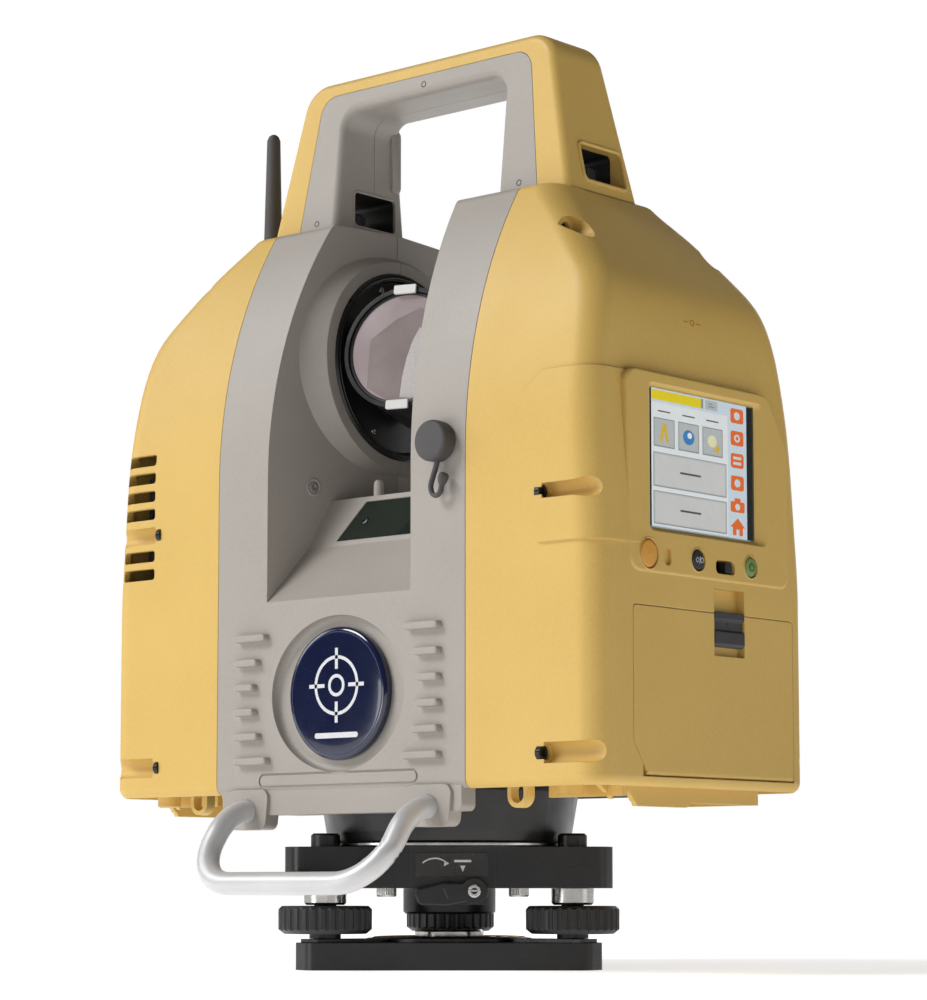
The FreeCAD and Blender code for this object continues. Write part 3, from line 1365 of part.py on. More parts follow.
def make_antenna():
    """A forked foot in the shoulder and a whip that folds to the rear."""
    x, y, z = -S.antenna_side, S.antenna_depth, S.antenna_pivot
    foot = rod(7, (x, y, z - 18), (x, y, z - 5))
    fork = box_between((x - 5.6, y - 4, z - 6), (x + 5.6, y + 4, z + 1))
    fork = fork.fuse(rod(4, (x - 5.6, y, z + 0.5), (x + 5.6, y, z + 0.5)))
    fork = fork.cut(box_between((x - 3.3, y - 5, z - 5), (x + 3.3, y + 5, z + 6)))
    pin = rod(1.2, (x - 5.6, y, z), (x + 5.6, y, z))
    feature("antenna_foot", foot.fuse(fork).fuse(pin))
    # The knuckle is a flat tongue with a round end, and the whip stands on its upper face.
    tongue = rod(3.7, (x - 3, y, z), (x + 3, y, z)).fuse(box_between((x - 3, y - 3.2, z),
                                                                     (x + 3, y + 3.2, z + 6)))
    tongue = tongue.cut(rod(1.35, (x - 8, y, z), (x + 8, y, z)))
    clear = 4.7
    profile = [(4.2, clear), (4.5, clear + 0.5), (4.5, clear + 4), (4, clear + 4.6), (4, clear + 5.6),
               (4.7, clear + 6.2), (4.7, clear + 16), (3.3, S.antenna_length - 3), (2.4,
                                                                                    S.antenna_length - 0.9),
               (1.2, S.antenna_length)]
    whip = None
    for (r1, h1), (r2, h2) in zip(profile, profile[1:]):
        start = Vector(x, y, z + h1)
        if r1 == r2:
            piece = Part.makeCylinder(r1, h2 - h1, start)
        else:
            piece = Part.makeCone(r1, r2, h2 - h1, start)
        whip = piece if whip is None else whip.fuse(piece)
    whole = whip.fuse(tongue).removeSplitter()
    feature("antenna_whip", whole)


# ---------------------------------------------------------------- everything


def make_all():
    make_base_plate()
    make_spring_plate()
    make_foot_screws()
    make_sleeves_and_caps()
    make_tribrach_body()
    make_lock()
    make_eyepiece()
    make_round_level()
    make_fixed_foot()
    shell = body_shell()
    make_front_panel(shell)
    make_rear_panel(shell)
    make_left_cover(shell)
    make_right_cover(shell)
    make_badge()
    for side, name in ((-1, "left"), (1, "right")):
        make_battery_door(side, name)
        make_latch(side, name)
    make_keys()
    make_bottom_cover()
    make_frame()
    make_azimuth_drive()
    make_tilt_drive()
    make_scan_head()
    make_electronics()
    make_fan()
    make_port_cap()
    make_guard_bar()
    make_cover_screws()
    make_handle()
    make_antenna()
    DOC.recompute()


def check_document():
    """Stops before anything is written if an object failed or a sub-part is not sound."""
    for thing in DOC.Objects:
        if "Invalid" in thing.State or "Error" in thing.State:
            raise RuntimeError(f"{thing.Label} did not compute: {thing.State}")
    labels = [node.Label for node in NODES]
    if len(set(labels)) != len(labels):
        raise RuntimeError("two sub-parts share a label")
    for node in NODES:
        shape = node.Shape
        if shape.isNull() or not shape.isValid() or not shape.Solids:
            raise RuntimeError(f"{node.Label} is not a sound solid")


def write_parts():
    os.makedirs("parts", exist_ok=True)
    for node in NODES:
        node.Shape.exportStep(f"parts/{node.Label}.step")
        print(f"{node.Label}: {len(node.Shape.Solids)} solids, {node.Shape.Volume / 1000:.2f} cm3")


make_all()
check_document()
write_parts()
print(len(NODES), "nodes")
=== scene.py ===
"""Looks of a terrestrial laser scanner: materials, fittings, floor, lights and camera round the CAD frame."""

import bmesh
import bpy
import math
from mathutils import Matrix, Vector
from mathutils.bvhtree import BVHTree


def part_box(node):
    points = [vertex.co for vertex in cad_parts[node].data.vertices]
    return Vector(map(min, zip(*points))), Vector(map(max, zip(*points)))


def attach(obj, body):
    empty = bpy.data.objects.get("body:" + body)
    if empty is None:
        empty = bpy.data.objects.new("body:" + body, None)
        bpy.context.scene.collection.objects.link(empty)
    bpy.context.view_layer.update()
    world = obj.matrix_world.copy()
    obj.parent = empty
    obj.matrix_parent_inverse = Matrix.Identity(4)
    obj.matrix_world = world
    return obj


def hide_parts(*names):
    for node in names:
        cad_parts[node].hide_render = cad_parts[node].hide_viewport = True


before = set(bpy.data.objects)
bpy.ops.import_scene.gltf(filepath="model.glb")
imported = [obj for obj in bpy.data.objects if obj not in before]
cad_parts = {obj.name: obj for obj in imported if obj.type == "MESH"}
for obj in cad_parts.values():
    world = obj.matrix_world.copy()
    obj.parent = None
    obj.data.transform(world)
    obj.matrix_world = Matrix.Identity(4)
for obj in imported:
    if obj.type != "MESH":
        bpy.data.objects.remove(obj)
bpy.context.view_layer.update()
scene = bpy.context.scene
MM = 0.001
UP = Vector((0, 0, 1))
MIRROR_AXIS = 280 * MM


# ---------------------------------------------------------------- materials


class Surface:
    """One material: a principled shader with helpers for noise, relief and soft edges in object space."""

    def __init__(self, name, **fixed):
        self.material = bpy.data.materials.new(name)
        self.material.use_nodes = True
        self.tree = self.material.node_tree
        self.shader = self.tree.nodes["Principled BSDF"]
        self.place = self.node("ShaderNodeTexCoord").outputs["Object"]
        self.normal = None
        for key, value in fixed.items():
            self.shader.inputs[key.replace("_", " ")].default_value = value

    def node(self, kind, **inputs):
        made = self.tree.nodes.new(kind)
        for key, value in inputs.items():
            self.feed(made.inputs[key.replace("_", " ")], value)
        return made

    def feed(self, socket, value):
        if isinstance(value, bpy.types.NodeSocket):
            self.tree.links.new(value, socket)
        else:
            socket.default_value = value

    def noise(self, size, detail=2.0, stretch=(1, 1, 1)):
        """Noise whose features are about size metres across."""
        place = self.place
        if stretch != (1, 1, 1):
            place = self.node("ShaderNodeMapping", Vector=place, Scale=stretch).outputs[0]
        made = self.node("ShaderNodeTexNoise", Vector=place, Scale=1 / size, Detail=detail, Roughness=0.55)
        return made.outputs["Fac"]

    def between(self, factor, low, high, start=0.3, end=0.7):
        """A number that runs from low to high as factor runs from start to end."""
        made = self.node("ShaderNodeMapRange", Value=factor)
        for name, value in (("From Min", start), ("From Max", end), ("To Min", low), ("To Max", high)):
            made.inputs[name].default_value = value
        return made.outputs[0]

    def mix(self, factor, first, second, mode="MIX"):
        made = self.tree.nodes.new("ShaderNodeMix")
        made.data_type, made.blend_type = "RGBA", mode
        self.feed(made.inputs[0], factor)
        for socket, value in ((made.inputs[6], first), (made.inputs[7], second)):
            self.feed(socket, value if isinstance(value, bpy.types.NodeSocket) else (*value, 1))
        return made.outputs[2]

    def soften(self, radius):
        """Rounds the look of sharp edges, and returns a mask that is 1 on an edge."""
        bevel = self.tree.nodes.new("ShaderNodeBevel")
        bevel.samples = 4
        bevel.inputs["Radius"].default_value = radius
        self.normal = bevel.outputs[0]
        flat = self.tree.nodes.new("ShaderNodeNewGeometry").outputs["Normal"]
        turn = self.tree.nodes.new("ShaderNodeVectorMath")
        turn.operation = "DOT_PRODUCT"
        self.feed(turn.inputs[0], self.normal)
        self.feed(turn.inputs[1], flat)
        return self.between(turn.outputs["Value"], 1.0, 0.0, 0.86, 0.99)

    def relief(self, height, depth, strength=1.0):
        bump = self.node("ShaderNodeBump", Height=height, Strength=strength, Distance=depth)
        if self.normal is not None:
            self.feed(bump.inputs["Normal"], self.normal)
        self.normal = bump.outputs[0]

    def finish(self, colour=None, roughness=None):
        if colour is not None:
            self.feed(self.shader.inputs["Base Color"], colour)
        if roughness is not None:
            self.feed(self.shader.inputs["Roughness"], roughness)
        if self.normal is not None:
            self.feed(self.shader.inputs["Normal"], self.normal)
        return self.material


def moulded(name, light, dark, rough=(0.42, 0.52), grain=0.5 * MM, depth=0.05 * MM, edge=0.6 * MM,
            worn=None, **fixed):
    """Moulded plastic: a fine spark texture, a faint cloudiness in the colour and slightly polished edges."""
    s = Surface(name, **fixed)
    mask = s.soften(edge)
    cloud = s.noise(60 * MM, 3)
    speck = s.noise(1.3 * MM, 2)
    colour = s.mix(s.between(cloud, 0, 1), dark, light)
    colour = s.mix(s.between(speck, 0.0, 0.35, 0.35, 0.65), colour, [min(1, c * 1.08) for c in light])
    if worn is not None:
        scuff = s.node("ShaderNodeMath", Value=mask)
        scuff.operation = "MULTIPLY"
        s.feed(scuff.inputs[1], s.between(s.noise(9 * MM, 4), 0.1, 0.75))
        colour = s.mix(scuff.outputs[0], colour, worn)
    s.relief(s.noise(grain, 2), depth, 0.5)
    s.relief(s.noise(14 * MM, 2), 0.12 * MM, 0.12)
    return s.finish(colour, s.between(s.noise(25 * MM, 3), *rough))


def coated_metal(name, light, dark, rough=(0.3, 0.42), metallic=0.0, edge=0.35 * MM,
                 worn=(0.16, 0.16, 0.17), grain=0.8 * MM, depth=0.02 * MM, wear=0.35, **fixed):
    """Anodised or painted metal: fine grain, cloudy roughness, and a thin bright line on rubbed edges."""
    s = Surface(name, Metallic=metallic, **fixed)
    mask = s.soften(edge)
    colour = s.mix(s.between(s.noise(18 * MM, 4), 0, 1), dark, light)
    rub = s.node("ShaderNodeMath", Value=mask)
    rub.operation = "MULTIPLY"
    s.feed(rub.inputs[1], s.between(s.noise(6 * MM, 4), 0.0, wear))
    colour = s.mix(rub.outputs[0], colour, worn)
    s.relief(s.noise(grain, 3), depth, 0.5)
    return s.finish(colour, s.between(s.noise(10 * MM, 4), *rough))


def bare_metal(name, light, dark, rough=(0.16, 0.26), stretch=(1, 1, 24), size=5 * MM, depth=0.006 * MM,
               **fixed):
    """Turned or brushed metal: fine lines round the upright axis and a slight change of tone."""
    s = Surface(name, Metallic=1.0, **fixed)
    s.soften(0.25 * MM)
    lines = s.noise(size, 4, stretch)
    colour = s.mix(s.between(lines, 0, 1), dark, light)
    s.relief(lines, depth, 0.6)
    return s.finish(colour, s.between(s.noise(7 * MM, 4), *rough))


def print_ink(name, colour, rough=0.5, **fixed):
    """Printed ink: near-flat colour with a faint speckle and a soft sheen."""
    s = Surface(name, **fixed)
    tone = s.mix(s.between(s.noise(0.7 * MM, 3), 0, 1), [c * 0.9 for c in colour],
                 [min(1, c * 1.06) for c in colour])
    s.relief(s.noise(0.4 * MM, 2), 0.01 * MM, 0.3)
    return s.finish(tone, s.between(s.noise(5 * MM, 2), rough * 0.9, rough * 1.1))


def lit_pixels(name, colour, strength=0.85):
    """One colour of a lit display: it glows evenly, with a very fine pixel grain."""
    s = Surface(name, Specular_IOR_Level=0.3)
    tone = s.mix(s.between(s.noise(0.5 * MM, 1), 0, 1), [c * 0.94 for c in colour], colour)
    s.feed(s.shader.inputs["Emission Color"], tone)
    s.shader.inputs["Emission Strength"].default_value = strength
    dim = s.mix(s.between(s.noise(4 * MM, 2), 0, 1), [c * 0.25 for c in colour], [c * 0.2 for c in colour])
    return s.finish(dim, s.between(s.noise(9 * MM, 2), 0.3, 0.36))


def glass(name, tint, rough=0.02, **fixed):
    """Glass with a barely uneven surface."""
    s = Surface(name, IOR=1.5, **fixed)
    colour = s.mix(s.between(s.noise(30 * MM, 2), 0, 1), [c * 0.97 for c in tint], tint)
    s.relief(s.noise(40 * MM, 1), 0.02 * MM, 0.1)
    return s.finish(colour, s.between(s.noise(12 * MM, 3), rough, rough * 2.2))


YELLOW, YELLOW_DARK = (0.69, 0.465, 0.135), (0.655, 0.435, 0.12)
GREY, GREY_DARK = (0.385, 0.355, 0.32), (0.355, 0.325, 0.293)

materials = {
    "yellow_shell": moulded("yellow_shell", YELLOW, YELLOW_DARK, (0.4, 0.5), worn=(0.78, 0.6, 0.26),
                            Specular_IOR_Level=0.32),
    "grey_shell": moulded("grey_shell", GREY, GREY_DARK, (0.42, 0.52), worn=(0.46, 0.43, 0.4)),
    "black_metal": coated_metal("black_metal", (0.013, 0.013, 0.014), (0.008, 0.008, 0.009), (0.26, 0.38)),
    "black_plastic": moulded("black_plastic", (0.018, 0.018, 0.019), (0.012, 0.012, 0.013), (0.38, 0.5),
                             worn=(0.06, 0.06, 0.065)),
    "dark_grey_plastic": moulded("dark_grey_plastic", (0.05, 0.05, 0.055), (0.038, 0.038, 0.042),
                                 (0.35, 0.45), worn=(0.12, 0.12, 0.13)),
    "rubber": moulded("rubber", (0.075, 0.07, 0.072), (0.06, 0.056, 0.058), (0.6, 0.72), grain=0.35 * MM,
                      depth=0.04 * MM, worn=(0.06, 0.06, 0.062)),
    "machined_steel": bare_metal("machined_steel", (0.66, 0.64, 0.62), (0.56, 0.55, 0.53)),
    "silver_bar": coated_metal("silver_bar", (0.66, 0.66, 0.67), (0.6, 0.6, 0.61), (0.34, 0.44), 0.25,
                               worn=(0.8, 0.8, 0.81), grain=0.6 * MM, depth=0.03 * MM),
    "cast_alloy": coated_metal("cast_alloy", (0.5, 0.5, 0.51), (0.4, 0.4, 0.41), (0.42, 0.55), 0.9,
                               worn=(0.7, 0.7, 0.71), depth=0.06 * MM),
    "coated_mirror": bare_metal("coated_mirror", (0.62, 0.55, 0.58), (0.56, 0.49, 0.52), (0.05, 0.1),
                                (1, 1, 1), 8 * MM, 0.002 * MM),
    "window_glass": glass("window_glass", (0.012, 0.02, 0.015), 0.05, Coat_Weight=0.6),
    "screen_glass": glass("screen_glass", (0.97, 0.98, 0.98), 0.02, Transmission_Weight=1.0),
    "display": lit_pixels("display", (0.45, 0.56, 0.62), 0.7),
    "badge_blue": coated_metal("badge_blue", (0.006, 0.011, 0.045), (0.004, 0.008, 0.036), (0.1, 0.16),
                               worn=(0.02, 0.035, 0.09), depth=0.004 * MM, Coat_Weight=0.7),
    "white_plastic": moulded("white_plastic", (0.78, 0.77, 0.75), (0.72, 0.71, 0.69), (0.35, 0.45),
                             worn=(0.85, 0.84, 0.83)),
    "orange_plastic": moulded("orange_plastic", (0.74, 0.37, 0.06), (0.68, 0.33, 0.05), (0.36, 0.46),
                              worn=(0.82, 0.5, 0.16)),
    "green_plastic": moulded("green_plastic", (0.2, 0.31, 0.09), (0.17, 0.27, 0.07), (0.36, 0.46),
                             worn=(0.3, 0.42, 0.16)),
    "circuit_board": coated_metal("circuit_board", (0.02, 0.13, 0.05), (0.012, 0.09, 0.035), (0.25, 0.4),
                                  worn=(0.1, 0.25, 0.1)),
    "battery_case": moulded("battery_case", (0.03, 0.03, 0.034), (0.022, 0.022, 0.026), (0.4, 0.5),
                            worn=(0.08, 0.08, 0.09)),
}
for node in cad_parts.values():
    for slot in node.material_slots:
        slot.material = materials[slot.material.name.split(".")[0]]


# ---------------------------------------------------------------- mesh helpers


def piece(name, mesh_data, material, body, edge_angle=35):
    """A new object from a bmesh or from (points, faces). It rides on a CAD body."""
    mesh = bpy.data.meshes.new(name)
    if isinstance(mesh_data, bmesh.types.BMesh):
        mesh_data.to_mesh(mesh)
        mesh_data.free()
    else:
        mesh.from_pydata(mesh_data[0], [], mesh_data[1])
    mesh.materials.append(material)
    mesh.shade_smooth()
    mesh.set_sharp_from_angle(angle=math.radians(edge_angle))
    made = bpy.data.objects.new(name, mesh)
    scene.collection.objects.link(made)
    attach(made, body)
    return made


def in_mm(pairs):
    """Pairs of lengths given in millimetres, in metres."""
    return [(a * MM, b * MM) for a, b in pairs]


def facing(origin, normal, up=UP):
    """A matrix whose Z axis is normal and whose Y axis is as near to up as it can be."""
    z = Vector(normal).normalized()
    x = Vector(up).cross(z).normalized()
    made = Matrix((x, z.cross(x), z)).transposed().to_4x4()
    made.translation = Vector(origin)
    return made


def touch(node, start, direction):
    """Where a straight line first meets a CAD node: the point and the surface's direction there."""
    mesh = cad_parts[node].data
    mesh.calc_loop_triangles()
    tree = BVHTree.FromPolygons([v.co for v in mesh.vertices],
                                [tuple(t.vertices) for t in mesh.loop_triangles])
    point, normal, _, _ = tree.ray_cast(Vector(start), Vector(direction).normalized())
    if point is None:
        raise ValueError(f"no surface of {node} on the line from {tuple(start)}")
    if normal.dot(Vector(direction)) > 0:
        normal = -normal
    return point, normal


def lathe(bm, place, profile, count=48):
    """Turns a profile of (radius, height) pairs about the Z axis of place and adds it to bm."""
    rings = []
    for radius, height in profile:
        if radius < 1e-7:
            rings.append([bm.verts.new(place @ Vector((0, 0, height)))])
            continue
        turn = [2 * math.pi * k / count for k in range(count)]
        points = [Vector((radius * math.cos(a), radius * math.sin(a), height)) for a in turn]
        rings.append([bm.verts.new(place @ point) for point in points])
    for low, high in zip(rings, rings[1:]):
        for k in range(count):
            corners = [low[k % len(low)], low[(k + 1) % len(low)], high[(k + 1) % len(high)],
                       high[k % len(high)]]
            unique = list(dict.fromkeys(corners))
            if len(unique) > 2:
                bm.faces.new(unique)
    return bm


def slab(bm, place, outline, bottom, top, bevel=0.0):
    """Raises a flat outline of (x, y) points between two heights of place, with a small chamfer on top."""
    rings = [[bm.verts.new(place @ Vector((x, y, bottom))) for x, y in outline]]
    if bevel > 0:
        rings.append([bm.verts.new(place @ Vector((x, y, top - bevel))) for x, y in outline])
        middle = Vector((sum(p[0] for p in outline), sum(p[1] for p in outline))) / len(outline)
        inner = []
        for x, y in outline:
            away = Vector((x, y)) - middle
            inner.append(Vector((x, y)) - away.normalized() * bevel * 1.2)
        rings.append([bm.verts.new(place @ Vector((p.x, p.y, top))) for p in inner])
    else:
        rings.append([bm.verts.new(place @ Vector((x, y, top))) for x, y in outline])
    count = len(outline)
    for low, high in zip(rings, rings[1:]):
        for k in range(count):
            bm.faces.new((low[k], low[(k + 1) % count], high[(k + 1) % count], high[k]))
    bm.faces.new(rings[-1])
    bm.faces.new(list(reversed(rings[0])))
    return bm


def rounded(width, height, radius, centre=(0, 0), steps=5):
    """The outline of a rectangle with rounded corners."""
    out = []
    for sx, sy, start in ((1, 1, 0), (-1, 1, 90), (-1, -1, 180), (1, -1, 270)):
        cx, cy = centre[0] + sx * (width / 2 - radius), centre[1] + sy * (height / 2 - radius)
        for k in range(steps + 1):
            a = math.radians(start + 90 * k / steps)
            out.append((cx + radius * math.cos(a), cy + radius * math.sin(a)))
    return out


def disc(radius, centre=(0, 0), steps=40):
    """The outline of a round shape."""
    angles = [2 * math.pi * k / steps for k in range(steps)]
    return [(centre[0] + radius * math.cos(a), centre[1] + radius * math.sin(a)) for a in angles]


def stroke(path, width, closed=False):
    """Outlines of the straight pieces of a drawn line, as four-sided shapes that meet at mitred corners."""
    points = [Vector(p) for p in path]
    sides = []
    for k, p in enumerate(points):
        before = points[k - 1] if closed or k else None
        after = points[(k + 1) % len(points)] if closed or k + 1 < len(points) else None
        ahead = (after - p).normalized() if after is not None else Vector((0, 0))
        behind = (p - before).normalized() if before is not None else Vector((0, 0))
        way = ahead + behind
        way.normalize()
        across = Vector((-way.y, way.x)) * width / 2
        sides.append((p + across, p - across))
    ends = zip(sides, sides[1:] + sides[:1]) if closed else zip(sides, sides[1:])
    return [[tuple(a[1]), tuple(b[1]), tuple(b[0]), tuple(a[0])] for a, b in ends]


def arc(radius, start, end, centre=(0, 0), steps=16):
    """Points along a part of a circle, between two angles in degrees."""
    angles = [math.radians(start + (end - start) * k / steps) for k in range(steps + 1)]
    return [(centre[0] + radius * math.cos(a), centre[1] + radius * math.sin(a)) for a in angles]


def smooth_path(points, steps=6):
    """Points along a smooth open line through the given ones."""
    points = [Vector(p) for p in points]
    count = len(points)
    out = []
    for k in range(count - 1):
        a, b, c, d = points[max(k - 1, 0)], points[k], points[k + 1], points[min(k + 2, count - 1)]
        for j in range(steps):
            t = j / steps
            square, cube = (2 * a - 5 * b + 4 * c - d) * t * t, (3 * b - a - 3 * c + d) * t ** 3
            out.append(0.5 * (2 * b + (c - a) * t + square + cube))
    out.append(points[-1])
    return out


def tube(bm, path, radius, closed=False, sides=12, flat=1.0, across=(0, 1, 0)):
    """A round or flattened bar along a path. radius is a number, or a function of the way along (0 to 1)."""
    rings = []
    last = len(path) - 1
    for k, p in enumerate(path):
        before = path[k - 1] if closed or k else p
        after = path[(k + 1) % len(path)] if closed or k < last else p
        way = (after - before).normalized()
        wide = Vector(across)
        wide = (wide - way * wide.dot(way)).normalized()
        thin = way.cross(wide)
        r = radius(k / last) if callable(radius) else radius
        angles = [2 * math.pi * j / sides for j in range(sides)]
        rings.append([bm.verts.new(p + wide * r * math.cos(a) + thin * r * flat * math.sin(a))
                      for a in angles])
    pairs = list(zip(rings, rings[1:])) + ([(rings[-1], rings[0])] if closed else [])
    for low, high in pairs:
        for j in range(sides):
            bm.faces.new((low[j], low[(j + 1) % sides], high[(j + 1) % sides], high[j]))
    if not closed:
        bm.faces.new(rings[0][::-1])
        bm.faces.new(rings[-1])
    return bm


def screw(bm, place, radius, height):
    """A small machine screw: a chamfered head with a hexagon socket."""
    lathe(bm, place, [(radius, -0.4 * MM), (radius, height * 0.7), (radius * 0.86, height),
                      (radius * 0.5, height)], 24)
    lathe(bm, place, [(radius * 0.5, height), (radius * 0.46, height * 0.25), (0, height * 0.2)], 6)
    return bm


# ---------------------------------------------------------------- floor, lights, camera


def make_stage():
    """A wide pale floor that glows a little, so that it meets the white background without an edge."""
    floor_look = Surface("pale_floor", Specular_IOR_Level=0.2)
    tone = floor_look.mix(floor_look.between(floor_look.noise(0.4, 2), 0, 1), (0.9, 0.9, 0.9),
                          (0.93, 0.93, 0.93))
    floor_look.feed(floor_look.shader.inputs["Emission Color"], tone)
    floor_look.shader.inputs["Emission Strength"].default_value = 0.72
    floor_look.finish(tone, floor_look.between(floor_look.noise(0.1, 2), 0.75, 0.85))
    bm = bmesh.new()
    level = -0.05 * MM
    lathe(bm, Matrix.Identity(4), [(radius, level) for radius in (0, 0.5, 2, 12)], 64)
    mesh = bpy.data.meshes.new("studio_floor")
    bm.to_mesh(mesh)
    bm.free()
    mesh.materials.append(floor_look.material)
    floor = bpy.data.objects.new("studio_floor", mesh)
    scene.collection.objects.link(floor)


def soft_box(name, place, size, power, aim=(0, 0, 0.2)):
    """A square area light that points at aim and is not seen by the camera."""
    light = bpy.data.lights.new(name, "AREA")
    light.shape, light.size, light.energy = "SQUARE", size, power
    made = bpy.data.objects.new(name, light)
    made.location = place
    made.rotation_euler = (Vector(aim) - Vector(place)).to_track_quat("-Z", "Y").to_euler()
    made.visible_camera = False
    scene.collection.objects.link(made)


def make_lights():
    """A soft sun, four area lights, and a world that the camera sees as white and the rest as a dim fill."""
    world = bpy.data.worlds.new("studio")
    world.use_nodes = True
    tree = world.node_tree
    tree.nodes.clear()
    seen = tree.nodes.new("ShaderNodeBackground")
    seen.inputs["Color"].default_value, seen.inputs["Strength"].default_value = (1, 1, 1, 1), 1.0
    fill = tree.nodes.new("ShaderNodeBackground")
    fill.inputs["Color"].default_value, fill.inputs["Strength"].default_value = (1, 0.93, 0.85, 1), 0.06
    path = tree.nodes.new("ShaderNodeLightPath")
    mix = tree.nodes.new("ShaderNodeMixShader")
    out = tree.nodes.new("ShaderNodeOutputWorld")
    tree.links.new(path.outputs["Is Camera Ray"], mix.inputs[0])
    tree.links.new(fill.outputs[0], mix.inputs[1])
    tree.links.new(seen.outputs[0], mix.inputs[2])
    tree.links.new(mix.outputs[0], out.inputs["Surface"])
    scene.world = world
    sun = bpy.data.lights.new("key_sun", "SUN")
    sun.energy, sun.angle = 1.95, math.radians(26)
    key = bpy.data.objects.new("key_sun", sun)
    key.rotation_euler = Vector((0.42, 0.6, -0.62)).to_track_quat("-Z", "Y").to_euler()
    scene.collection.objects.link(key)
    soft_box("key_box", (-2.2, -1.0, 1.1), 1.0, 10)
    soft_box("low_box", (-0.35, -0.85, 0.03), 0.35, 1.5, (0, 0, 0.12))
    soft_box("side_box", (1.9, 0.7, 0.4), 0.9, 1.6)
    soft_box("rear_box", (-0.6, 2.0, 0.9), 1.2, 6)


def make_camera():
    """The camera as it was solved for the picture."""
    lens = bpy.data.cameras.new("camera")
    lens.sensor_width, lens.lens, lens.shift_y = 36, 105.67, 0.08
    lens.clip_start, lens.clip_end = 0.01, 50
    camera = bpy.data.objects.new("camera", lens)
    camera.location = (0.8894, -1.0092, 0.0357)
    camera.rotation_euler = (math.radians(90 + 6.008), 0, math.radians(41.116))
    scene.collection.objects.link(camera)
    scene.camera = camera
    scene.view_settings.view_transform = "Standard"


# ---------------------------------------------------------------- levelling base

BASE_TURN = Matrix.Rotation(math.radians(41), 4, "Z")
ink_white = print_ink("ink_white", (0.62, 0.62, 0.61))
ink_orange = print_ink("ink_orange", (0.5, 0.2, 0.02))
ink_dark = print_ink("ink_dark", (0.03, 0.03, 0.032))
brass = bare_metal("brass", (0.7, 0.42, 0.14), (0.62, 0.36, 0.11))
dark_steel = coated_metal("dark_steel", (0.035, 0.035, 0.037), (0.022, 0.022, 0.024), (0.2, 0.3), 0.6,
                          worn=(0.3, 0.3, 0.3))
label_plate = coated_metal("label_plate", (0.03, 0.028, 0.028), (0.022, 0.02, 0.02), (0.22, 0.3),
                           worn=(0.1, 0.1, 0.1))


def base_point(x, y, z):
    """A point of the levelling base in metres, from millimetres in the base's own turned axes."""
    return BASE_TURN @ Vector((x * MM, y * MM, z * MM))


def give(node, material):
    """Puts one material on every slot of a CAD node."""
    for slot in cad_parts[node].material_slots:
        slot.material = material


def knurled_head(place, teeth=36, tooth_depth=0.22):
    """The head of an adjusting screw, with fine teeth round its rim."""
    bm = bmesh.new()
    rings = []
    for radius, height in ((4.4, 0), (4.4, 3.2), (4.0, 3.7), (1.9, 3.7)):
        ring = []
        for i in range(teeth * 2):
            a = math.pi * i / teeth
            reach = radius - (tooth_depth if i % 2 and radius > 4.1 else 0)
            spot = Vector((reach * MM * math.cos(a), reach * MM * math.sin(a), height * MM))
            ring.append(bm.verts.new(place @ spot))
        rings.append(ring)
    for low, high in zip(rings, rings[1:]):
        for i in range(teeth * 2):
            after = (i + 1) % (teeth * 2)
            bm.faces.new((low[i], low[after], high[after], high[i]))
    return bm


